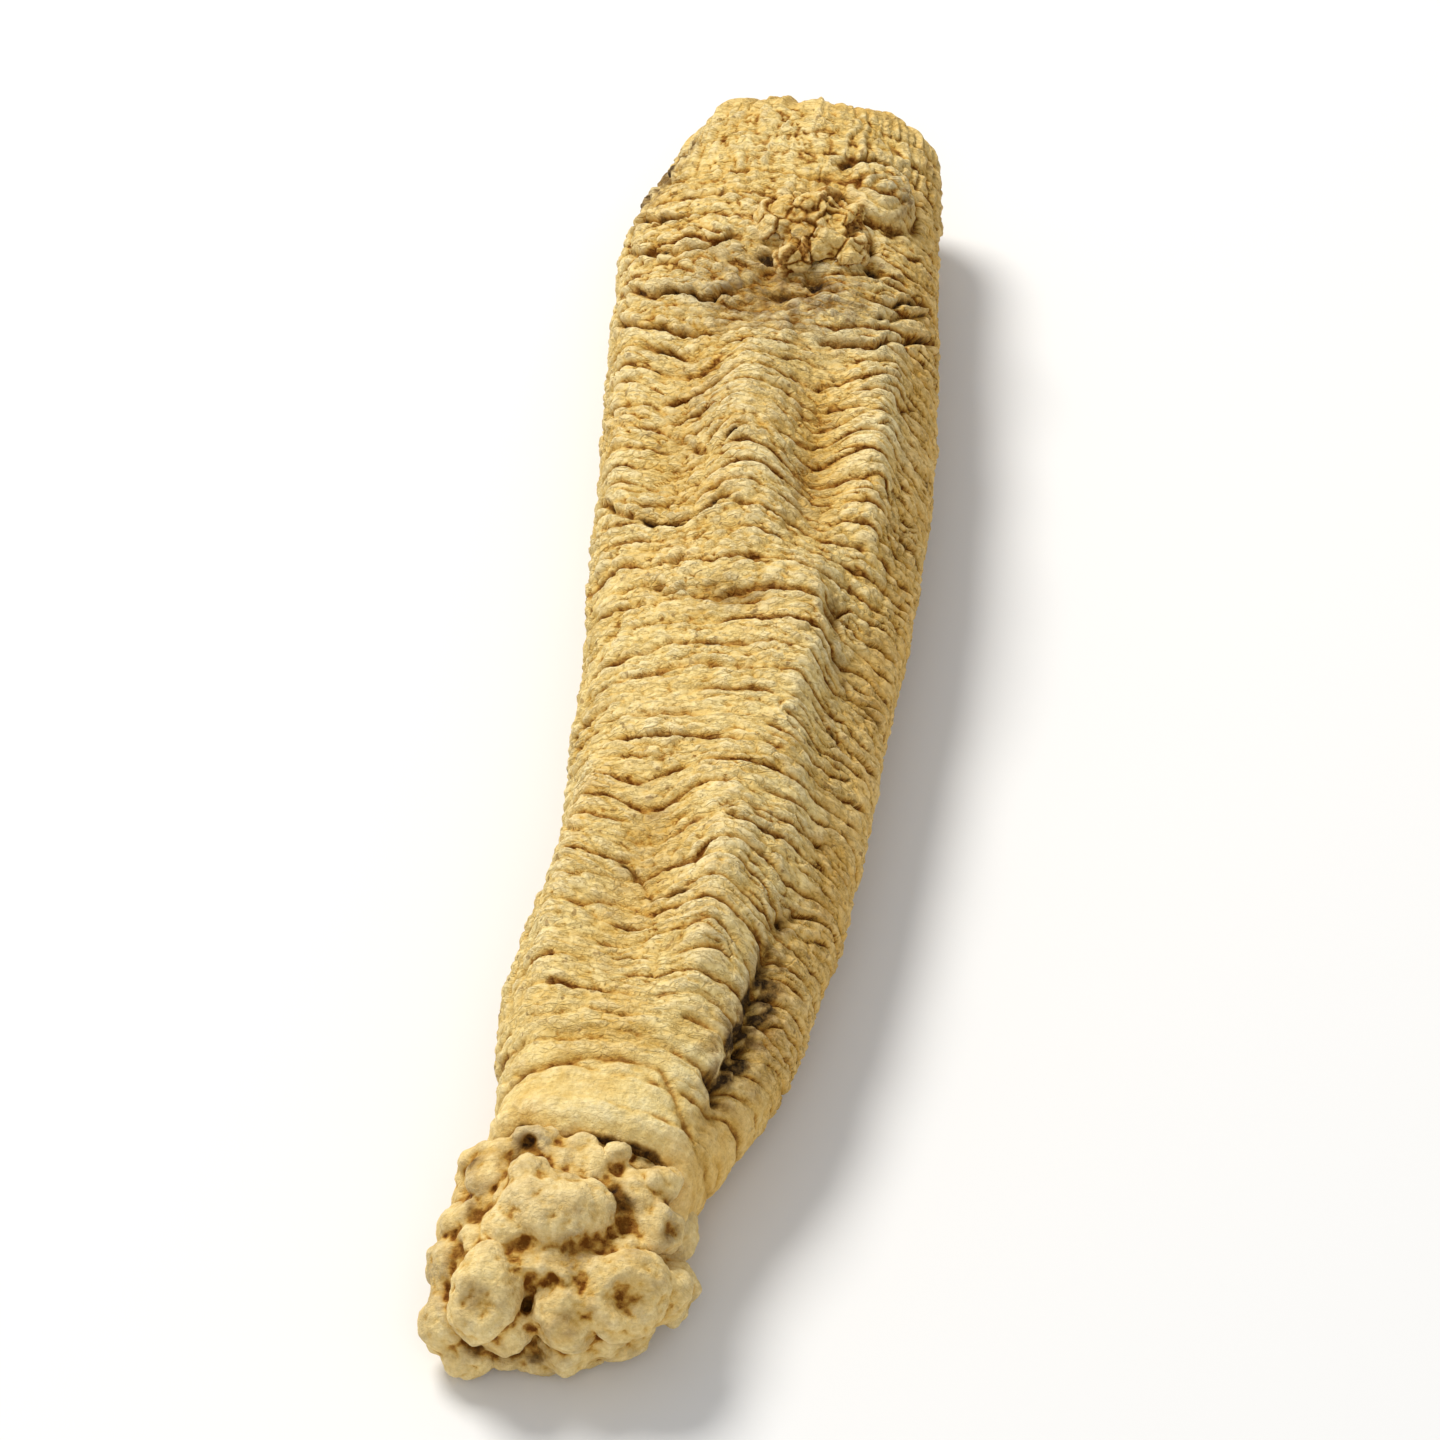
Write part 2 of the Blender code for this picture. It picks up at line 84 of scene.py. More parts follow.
# Lengthwise ridges and furrows: width on the right, width on the left, then
# (along, around, height) from end to end
RIDGES = {
    "upper centre": (1.6, 1.6, (
        (74, 97, 0), (70, 96, 1.2), (60, 93, 1.4), (56, 92, 0.9), (52, 90, 0))),
    "upper right": (1.5, 1.5, (
        (74, 50, 0), (69, 53, 1.2), (62, 54, 1.3), (57, 48, 0.7), (53, 40, 0))),
    "upper hollow": (1.6, 1.6, ((73, 76, 0), (65, 76, -1.0), (60, 72, -1.1), (54, 70, 0))),
    "left hollow": (2.2, 2.2, ((76, 118, 0), (68, 120, -0.8), (60, 118, -0.7), (54, 118, 0))),
    "left bank": (1.8, 1.8, ((80, 146, 0), (70, 144, 0.7), (60, 142, 0.7), (50, 144, 0))),
    "scar hollow": (1.8, 1.8, ((80, 86, 0), (77, 90, -1.1), (72, 100, -0.8), (66, 106, 0))),
    "plateau edge": (1.5, 3.0, (
        (56, 75, 0), (52, 68, 1.1), (48.5, 66, 1.4), (43, 70, 1.1), (35, 63, 0.6), (24, 65, 0.3),
        (17, 60, 0))),
    "right flank": (2.5, 3.0, (
        (62, 36, 0), (55, 38, -0.5), (45, 40, -0.6), (35, 34, -0.5), (25, 30, 0))),
    "lower centre": (1.4, 1.4, (
        (42, 84, 0), (36, 86, 0.9), (30, 80, 1.15), (25, 76, 1.0), (18, 76, 0))),
    "lower left": (1.6, 1.6, (
        (41, 142, 0), (35, 139, 0.9), (30, 135, 1.1), (25, 131, 0.9), (18, 131, 0))),
    "hollow between": (2.0, 2.0, (
        (39, 112, 0), (33, 106, -0.9), (30, 102, -1.1), (26, 101, -0.9), (19, 98, 0))),
    "dark furrow": (1.9, 1.2, (
        (32, 46, 0), (28, 47, -0.4), (25, 45, -0.8), (21, 41, -1.1), (16, 37, -0.6), (13, 36, 0))),
    "left flank": (2.0, 2.0, (
        (80, 196, 0), (70, 200, -0.8), (52, 194, -0.9), (40, 202, -0.6), (32, 205, 0))),
    "left shoulder": (2.4, 2.4, ((94, 152, -0.8), (89, 156, -1.4), (83, 160, 0))),
    "under left": (1.6, 1.6, ((66, 232, 0), (54, 226, -0.9), (38, 230, -0.8), (24, 224, 0))),
    "under right": (1.6, 1.6, (
        (84, 318, 0), (70, 312, -0.9), (56, 318, -0.7), (40, 326, -0.9), (26, 320, 0))),
}

# The lines that bound the crown, as (around, along) once round the neck
LIP_EDGE = (
    (0, 9.2), (20, 10.4), (40, 11.8), (60, 12.4), (90, 12.5), (120, 13.0), (140, 13.2),
    (180, 12.6), (270, 12.0), (330, 10.0), (360, 9.2),
)
COLLAR_GROOVE = (
    (0, 13.2), (32, 13.2), (57, 14.8), (72, 16.3), (90, 16.8), (180, 16.0), (270, 15.4),
    (360, 13.2),
)
UPPER_GROOVE = (
    (0, 16.2), (40, 16.7), (60, 17.5), (90, 18.6), (180, 18.7), (270, 18.0), (360, 16.2),
)

# Single deep folds across the root: depth, width, then (around, along) from end to end
FOLDS = (
    (0.6, 0.24, ((170, 83.9), (138, 81.7), (124, 81.5))),
    (0.8, 0.26, ((178, 82.1), (138, 78.8), (126, 78.6), (112, 78.4), (104, 79.6))),
    (0.8, 0.26, ((168, 77.1), (153, 76.3), (135, 75.1), (126, 75.5), (114, 74.6), (102, 75.3))),
    (0.85, 0.28, ((176, 75.3), (160, 74.4), (141, 72.7), (126, 72.2), (108, 71.8))),
    (0.45, 0.22, ((138, 70.5), (129, 70.6), (118, 70.0))),
    (0.95, 0.3, ((73, 71.6), (57, 71.6), (48, 73.1), (33, 74.6), (12, 76.5))),
    (0.7, 0.24, ((54, 74.6), (48, 75.0), (33, 76.7), (20, 77.8))),
    (0.55, 0.22, ((52, 76.0), (48, 76.2), (33, 77.7), (22, 78.6))),
    (0.6, 0.24, ((117, 63.3), (111, 62.3), (105, 61.5), (99, 62.2), (94, 62.9))),
    (0.6, 0.24, ((164, 60.1), (156, 59.5), (135, 57.2), (120, 56.4), (111, 56.5), (98, 57.5))),
    (0.45, 0.22, ((120, 51.2), (111, 50.8), (102, 51.0), (97, 51.4))),
    (0.5, 0.22, ((182, 37.5), (165, 36.0), (147, 33.7), (136, 33.0))),
    (0.4, 0.2, ((116, 31.0), (105, 30.1), (96, 28.2), (86, 28.4))),
    (0.45, 0.22, ((60, 43.9), (48, 42.9), (30, 42.2), (10, 42.5))),
    (0.5, 0.22, ((64, 47.9), (50, 47.1), (34, 46.1), (14, 45.8))),
    (0.45, 0.22, ((58, 61.4), (44, 59.7), (26, 59.1), (8, 59.5))),
    (0.45, 0.22, ((42, 65.4), (28, 64.9), (6, 65.7))),
)

# Pits and dents: along, around, depth, reach along, reach around, how dark
PITS = (
    (50.4, 92, 0.5, 0.7, 1.6, 0.2), (51.0, 58, 0.8, 1.9, 0.8, 0.35),
    (47.9, 52, 0.5, 0.5, 0.8, 0.3), (80.2, 61, 1.3, 0.7, 0.9, 1.0),
    (78.5, 57, 0.9, 0.45, 0.7, 0.9), (83.3, 84, 0.5, 0.4, 0.7, 0.6),
    (78.2, 92, 0.7, 0.45, 0.8, 0.8), (76.6, 77, 0.8, 0.5, 0.9, 0.7),
    (75.6, 86, 0.6, 0.5, 0.8, 0.5), (28.6, 46, 0.6, 0.5, 0.5, 0.45),
    (29.6, 40, 0.5, 0.4, 0.5, 0.35), (25.3, 46, 0.6, 0.8, 0.6, 0.6),
    (23.0, 47, 0.6, 0.9, 0.7, 0.75), (21.0, 44, 0.6, 0.9, 0.7, 1.0),
    (20.4, 36, 0.6, 0.7, 0.5, 0.9), (19.0, 42, 0.4, 0.6, 0.6, 0.8), (17.2, 41, 0.6, 0.4, 1.2, 0.7),
    (16.6, 34, 0.5, 0.4, 0.8, 0.5), (88.9, 151, 0.5, 0.5, 0.9, 0.9),
    (87.4, 157, 0.6, 0.6, 0.8, 1.0), (89.8, 166, 0.5, 0.6, 0.9, 0.9),
    (86.2, 162, 0.5, 0.5, 0.9, 0.9), (88.6, 138, 0.3, 0.4, 0.7, 0.7),
    (86.6, 147, 0.5, 0.5, 0.8, 1.0),
)
# Broader dark places, partly painted shade, as on the shaded side of the swelling beside the scar,
# and partly dark patches of the skin: along, around, reach along, reach around, strength
DARK_PATCHES = (
    (21.5, 41, 3.6, 1.3, 1.2), (26.5, 46, 3.0, 1.3, 0.35), (18.5, 37, 2.6, 2.4, 0.6),
    (75.0, 84, 3.2, 2.6, 0.4), (87.2, 146, 2.4, 1.6, 1.3), (88.0, 168, 3.4, 3.2, 0.8),
    (84.0, 46, 1.3, 1.0, 0.5),
)

# Greyed places: along, around, reach along, reach around, strength
GREYS = (
    (75.3, 88, 3.1, 4.2, 1.4), (66.0, 108, 2.6, 1.8, 0.5), (60.5, 76, 3.0, 1.0, 0.5),
    (50.4, 92, 1.2, 1.6, 0.7), (47.5, 52, 2.6, 1.0, 0.5), (33.0, 106, 3.0, 1.0, 0.4),
    (21.0, 34, 5.0, 2.6, 0.6), (84.9, 49, 1.4, 1.4, 0.7), (88.0, 158, 3.0, 3.0, 0.7),
)

# Crown knobs: along, side, level, the way each faces, its half sizes, and its form
# where that isn't a plain lump
KNOBS = (
    (7.4, -1.2, 8.0, (-0.1, -0.6, 1.0), 3.1, 2.2, 2.1),
    (8.9, -2.5, 9.0, (-0.2, -0.2, 1.0), 1.2, 1.3, 1.1),
    (6.4, -3.2, 7.6, (-0.4, -0.6, 1.0), 1.5, 1.3, 1.2),
    (7.8, 1.1, 8.2, (0.2, -0.5, 1.0), 1.5, 1.5, 1.2),
    (4.3, 3.2, 5.8, (0.35, -1.0, 0.8), 2.5, 2.4, 1.9, "scar"),
    (5.4, 5.2, 4.8, (0.9, -0.6, 0.4), 1.6, 1.5, 1.3),
    (6.4, 2.5, 6.5, (0.2, -0.8, 1.0), 1.6, 1.3, 1.3),
    (3.3, -3.9, 5.7, (-0.25, -1.0, 0.8), 2.0, 2.7, 2.0, "dimple"),
    (3.2, 0.3, 5.0, (0.1, -1.0, 0.5), 1.9, 2.1, 1.6),
    (7.7, -5.9, 6.1, (-1.0, -0.2, 0.6), 1.0, 1.6, 1.0),
    (11.0, -5.6, 7.0, (-0.9, -0.1, 0.6), 0.9, 1.8, 1.0),
    (9.8, -4.8, 7.7, (-0.6, -0.2, 0.8), 1.3, 1.6, 1.1, "dimple"),
    (5.7, -6.2, 4.7, (-1.0, -0.4, 0.2), 1.5, 1.7, 1.3, "dimple"),
    (3.3, -6.1, 2.9, (-0.8, -0.8, 0.0), 1.6, 1.9, 1.4),
    (2.4, -4.8, 1.8, (-0.4, -1.0, -0.3), 1.5, 1.4, 1.3),
    (2.7, -3.0, 3.9, (-0.1, -1.0, 0.3), 1.7, 1.6, 1.2),
    (3.0, 0.4, 2.4, (0.0, -1.0, 0.0), 1.8, 1.4, 1.3),
    (4.3, 3.0, 2.7, (0.5, -1.0, -0.1), 2.0, 1.6, 1.4),
    (5.8, 0.3, 6.2, (0.0, -0.8, 1.0), 2.0, 1.5, 1.2),
    (8.0, 4.6, 6.9, (0.8, -0.4, 0.8), 1.4, 1.5, 1.2, "dimple"),
    (10.3, 4.2, 7.8, (0.6, -0.4, 0.8), 1.3, 1.1, 0.9),
    (11.2, 2.0, 9.0, (0.2, -0.5, 1.0), 0.75, 0.7, 0.7),
    (10.2, 0.4, 8.5, (0.0, -0.4, 1.0), 1.3, 1.2, 0.8),
    (9.9, 2.8, 7.9, (0.3, -0.4, 1.0), 1.2, 1.1, 0.9),
    (9.0, 2.5, 7.9, (0.2, -0.4, 1.0), 1.4, 1.5, 1.0),
    (11.3, -0.3, 8.7, (0.0, -0.4, 1.0), 1.1, 1.0, 0.7),
    (10.3, -1.2, 8.5, (0.0, -0.4, 1.0), 1.2, 1.1, 0.8),
    (11.8, -1.6, 8.6, (0.2, -0.5, 1.0), 0.8, 1.0, 0.8),
    (11.25, -2.75, 8.75, (-0.1, -0.7, 0.9), 1.3, 1.1, 0.85, "scar"),
    (10.6, -4.0, 8.1, (-0.4, -0.3, 0.9), 1.3, 1.3, 0.9),
    (8.7, 3.6, 7.3, (0.5, -0.5, 0.9), 1.5, 1.3, 1.1),
    (6.9, 5.3, 3.2, (1.0, -0.3, 0.0), 1.7, 1.9, 1.4, "scar"),
)
# Pits and crevices of the crown, darkened partly by painted shade in the crevices and partly by the
# pits' own dark: side, along, level, depth, reach, how dark
CROWN_PITS = (
    (2.9, 7.9, 8.4, 0.4, 0.45, 0.95), (2.5, 8.4, 8.7, 0.4, 0.4, 0.95),
    (2.1, 8.9, 8.9, 0.3, 0.4, 0.8), (-1.5, 4.7, 6.1, 0.3, 0.6, 0.9),
    (-1.6, 3.6, 4.6, 0.2, 0.6, 0.7), (-1.2, 2.4, 2.2, 0.3, 0.7, 0.65),
    (-2.7, 2.3, 2.2, 0.3, 0.8, 0.45), (-4.3, 2.1, 3.0, 0.25, 0.6, 0.9),
    (-5.1, 7.4, 6.8, 0.3, 0.7, 0.8), (-5.7, 5.3, 5.8, 0.3, 0.7, 0.7),
    (3.4, 11.4, 8.8, 0.3, 0.8, 0.5), (-1.5, 13.0, 9.5, 0.2, 0.6, 0.7),
    (-3.6, 10.2, 9.0, 0.2, 0.6, 0.6), (-2.75, 10.95, 9.25, 0.3, 0.4, 1.5),
    (-5.6, 10.2, 8.1, 0.2, 0.6, 0.55), (-4.5, 2.0, 6.9, 0.15, 0.75, 0.4),
    (0.6, 2.2, 5.9, 0.1, 0.6, 0.35), (3.45, 3.0, 6.8, 0.1, 0.45, 0.6),
    (5.4, 7.5, 7.5, 0.2, 0.6, 0.5), (0.4, 5.6, 7.5, 0.1, 1.2, 0.25),
    (5.0, 9.2, 7.6, 0.15, 0.5, 0.45),
)
# Greyed places of the crown: side, along, level, reach, strength
CROWN_GREYS = (
    (-2.8, 11.0, 9.3, 1.0, 1.0), (0.6, 5.4, 7.4, 1.3, 1.1), (5.0, 8.0, 7.4, 1.0, 0.9),
    (-6.6, 4.8, 4.5, 1.6, 0.9), (-1.7, 5.4, 6.8, 1.0, 0.9), (-5.6, 9.2, 7.2, 1.4, 0.6),
)
# Rows of knobs under the crown: along, first angle, last angle, how many
HIDDEN_KNOB_ROWS = ((4.4, 205, 335, 5), (7.6, 192, 345, 6), (10.4, 186, 340, 6))
# Small warts strewn over the crown
WARTS = 46

# Knobs in the side-root scar: along, around, how far out, half size
SCAR_KNOBS = (
    (80.3, 80, -0.1, 2.3), (79.4, 70, -0.1, 1.9), (80.8, 90, -0.2, 1.8), (82.0, 77, -0.2, 1.8),
    (78.6, 84, -0.2, 1.7),
)
# Lumps strewn over the scar: its middle, how far they reach from it, how many
SCAR_CENTRE = (80.4, 79)
SCAR_REACH = (2.5, 18)
SCAR_LUMPS = 26

# The low round swelling beside the scar: along, around, radius, radius of its rim
SWELLING = (84.9, 54, 2.2, 2.8)
# Pairs of places where a ring starts and ends: all round the root, and on its right
FORKS = 58
RIGHT_FORKS = 16
# The stretch over which rings give way to lengthwise fibres
FIBRES_START, FIBRES_FULL = 82, 87

# Fineness of the meshes. The body is made in three lengths, each a closed piece. The
# joints are shares of its length, and the top is finer than the underside
ROWS = 750
COLUMNS = 320
JOINTS = (0.36, 0.71)
TOP_DENSITY = 0.3
CROWN_VOXEL = 0.125
SCAR_VOXEL = 0.08

# What the material reads from each vertex. The darkening of grooves, creases and hollows and the
# amber of the right side and the underside are painted shade, and the paleness of what stands out
# is a painted highlight
SHADES = ("groove", "hollow", "raised", "dark", "grey", "wood", "tint", "skin")

# The camera: degrees from the root's length, degrees down, metres away and across
VIEW_TURN = -8.4
VIEW_TILT = 46
VIEW_DISTANCE = 0.5
VIEW_WIDTH = 0.08
VIEW_TARGET = (0.56, -0.75, 5.0)
SENSOR = 36
# The studio, in metres and watts. Each light: name, place, width, power, colour
FLOOR_HALF_WIDTH = 2.5
FLOOR_COLOUR = (0.84, 0.84, 0.835, 1)
ROOM_COLOUR = (0.97, 0.98, 1.0, 1)
ROOM_STRENGTH = 0.42
LIGHTS = (
    ("key", (-0.3, 0.24, 0.5), 0.26, 3.7, (1.0, 0.97, 0.92)),
    ("fill", (0.1, -0.5, 0.5), 0.5, 1.0, (0.96, 0.98, 1.0)),
)

FAR = 9.0
LOW_10_BITS = np.uint64(0x3FF)
LOW_32_BITS = np.uint64(0xFFFFFFFF)


# Numbers and noise
def between(points, at, column):
    """One column of a list of places, read at any point of its first column."""
    table = np.array(points, float)
    order = np.argsort(table[:, 0])
    return np.interp(at, table[order, 0], table[order, column])


def smooth_between(points, at, column):
    """The same, along a curve with no corners at the places."""
    table = np.array(points, float)
    x, y = table[:, 0], table[:, column]
    slope = np.gradient(y, x)
    k = np.clip(np.searchsorted(x, at) - 1, 0, len(x) - 2)
    gap = x[k + 1] - x[k]
    t = np.clip((at - x[k]) / gap, 0, 1)
    rise = y[k] * (1 + 2 * t) * (1 - t) ** 2 + y[k + 1] * t * t * (3 - 2 * t)
    return rise + gap * (slope[k] * t * (1 - t) ** 2 - slope[k + 1] * t * t * (1 - t))


def step(low, high, value):
    """0 up to low, 1 from high on, and a smooth rise between."""
    t = np.clip((value - low) / (high - low), 0, 1)
    return t * t * (3 - 2 * t)


def hill(value, width=1.0):
    """1 where the value is zero, falling to 0 some widths away."""
    return np.exp(-((value / width) ** 2))


def near(points, centre, reach):
    """1 at a place in space, falling to 0 beyond its reach."""
    return np.exp(-np.sum(((points - centre) / reach) ** 2, axis=1))


def three_numbers(at, seed):
    """Three repeatable numbers from 0 to 1 for each whole-number place in space."""
    factors = (374761393, 668265263, 2147483647)
    h = sum(at[..., k] * np.uint64(factor) for k, factor in enumerate(factors))
    h = (h + np.uint64(seed * 144665 + 1013)) & LOW_32_BITS
    for shift, factor in ((13, 1274126177), (15, 2246822519)):
        h = ((h ^ (h >> np.uint64(shift))) * np.uint64(factor)) & LOW_32_BITS
    h = h ^ (h >> np.uint64(16))
    parts = [(h >> np.uint64(shift)) & LOW_10_BITS for shift in (0, 10, 20)]
    return np.stack([part.astype(float) / float(LOW_10_BITS) for part in parts], axis=-1)


def lattice(points, size):
    """The cell of each point, in a grid of cells of that size, and its place in the cell."""
    scaled = points / np.asarray(size, float)
    floor = np.floor(scaled)
    return (floor + 4096).astype(np.uint64), scaled - floor


def bumps(points, size, seed):
    """Smooth noise from about -1 to 1, whose lumps are size across."""
    cell, inside = lattice(points, size)
    ease = inside ** 3 * (inside * (inside * 6 - 15) + 10)
    total = np.zeros(points.shape[:-1])
    for corner in itertools.product((0, 1), repeat=3):
        at = cell + np.array(corner, np.uint64)
        slope = three_numbers(at, seed) * 2 - 1
        weight = np.prod(np.where(corner, ease, 1 - ease), axis=-1)
        total += weight * np.sum(slope * (inside - corner), axis=-1)
    return 1.6 * total


def rough(points, size, seed, octaves=3):
    """Bumps with finer and lower ones on them."""
    size = np.asarray(size, float)
    return sum(0.5 ** k * bumps(points, size / 2 ** k, seed + k) for k in range(octaves))


def creases(points, size, seed):
    """Noise with sharp valleys, from 0 in them to about 1."""
    size = np.asarray(size, float)
    wide, narrow = (np.minimum(1, 2.2 * np.abs(bumps(points, size / 2 ** k, seed + k)))
                    for k in range(2))
    return (wide + 0.5 * narrow) / 1.5


def shards(points, size, seed):
    """Scattered tilted flats: how far the nearest spot and edge are, and its height there."""
    cell, inside = lattice(points, size)
    first = np.full(points.shape[:-1], FAR)
    second = first.copy()
    height = np.zeros_like(first)
    for corner in itertools.product((-1, 0, 1), repeat=3):
        at = (cell.astype(np.int64) + np.array(corner)).astype(np.uint64)
        away = inside - three_numbers(at, seed) - corner
        tilt = three_numbers(at, seed + 1) - 0.5
        far = np.linalg.norm(away, axis=-1)
        nearer = far < first
        second = np.where(nearer, first, np.minimum(second, far))
        height = np.where(nearer, tilt[..., 0] + 1.5 * np.sum(tilt * away, axis=-1), height)
        first = np.minimum(first, far)
    return first, second - first, height


def blurred(grid, down, across):
    """A grid that closes round its second axis, smoothed by so many cells each way."""
    padding = int(3 * down) + 1
    tall = np.pad(grid, ((padding, padding), (0, 0)), mode="edge")
    rows = np.fft.fftfreq(tall.shape[0])[:, None]
    columns = np.fft.fftfreq(tall.shape[1])[None, :]
    keep = np.exp(-2 * math.pi ** 2 * ((rows * down) ** 2 + (columns * across) ** 2))
    return np.real(np.fft.ifft2(np.fft.fft2(tall) * keep))[padding:-padding]


# The form of the root
def section(along, around):
    """The plain form of the root, and which way is out, before any ridge."""
    side, width, top, level, under = (smooth_between(STATIONS, along, k) for k in range(1, 6))
    across, up = np.cos(around), np.sin(around)
    power = 2 / SECTION_POWER
    x = np.sign(across) * np.abs(across) ** power
    z = np.sign(up) * np.abs(up) ** power
    height = np.where(up > 0, top - level, level - under)
    out_x = np.sign(x) * np.abs(x) ** (SECTION_POWER - 1) / width
    out_z = np.sign(z) * np.abs(z) ** (SECTION_POWER - 1) / height
    long = np.hypot(out_x, out_z)
    place = np.stack([side + width * x, along + 0 * x, level + height * z], axis=-1)
    return place, np.stack([out_x / long, 0 * long, out_z / long], axis=-1)


def off_angle(around, centre):
    """How far round the skin a place is from centre, in millimetres, with its sign."""
    turn = (np.degrees(around) - centre + 180) % 360 - 180
    return np.radians(turn) * PERIMETER_RADIUS


def ridge_relief(along, around):
    """Height of the ridges and furrows."""
    total = np.zeros(np.broadcast(along, around).shape)
    for right, left, line in RIDGES.values():
        off = off_angle(around, between(line, along, 1))
        width = np.where(off > 0, left, right)
        first, last = min(p[0] for p in line), max(p[0] for p in line)
        inside = (along >= first) & (along <= last)
        total += inside * between(line, along, 2) * hill(off, width)
    return total


def spot(along, around, at, centre, reach, reach_around):
    """1 at a place on the skin, falling to 0 beyond its reach each way."""
    return hill(along - at, reach) * hill(off_angle(around, centre), reach_around)


def fold_line(path, degrees):
    """Where a fold lies at each angle, and how strong it still is there."""
    start, end = path[-1][0], path[0][0]
    inside = step(start - 6, start + 4, degrees) * (1 - step(end - 4, end + 6, degrees))
    return between(path, degrees, 1), inside * (1 - step(150, 172, degrees))


def ring_count(along, around, draw):
    """A count that grows by one from ring to ring, with rings that fork and end.

    Each pair of swirls starts an extra ring at one angle and ends it at another.
    """
    rings = between(((10, 0), (19, 4.6), (45, 21.5), (56, 27.5), (74, 39.5), (96, 51)), along, 1)
    place = around + 1j * along / PERIMETER_RADIUS
    turns = np.zeros_like(rings)

    def add_pair(level, middle, span, sign):
        begin, end = (middle + half + 1j * (level + draw.uniform(-0.6, 0.6)) / PERIMETER_RADIUS
                      for half in (-span / 2, span / 2))
        swirl = np.sin((place - begin) / 2) / np.sin((place - end) / 2)
        turns[...] += sign * np.angle(swirl) / math.tau

    for k in range(FORKS):
        level = 17 + 77 * (k + draw.random()) / FORKS
        add_pair(level, draw.uniform(0, math.tau), draw.uniform(0.35, 1.5), draw.choice((1, -1)))
    for k in range(RIGHT_FORKS):
        level = 22 + 66 * (k + draw.random()) / RIGHT_FORKS
        add_pair(level, draw.uniform(0.1, 0.6), draw.uniform(0.6, 1.1), 1)
    return rings + turns


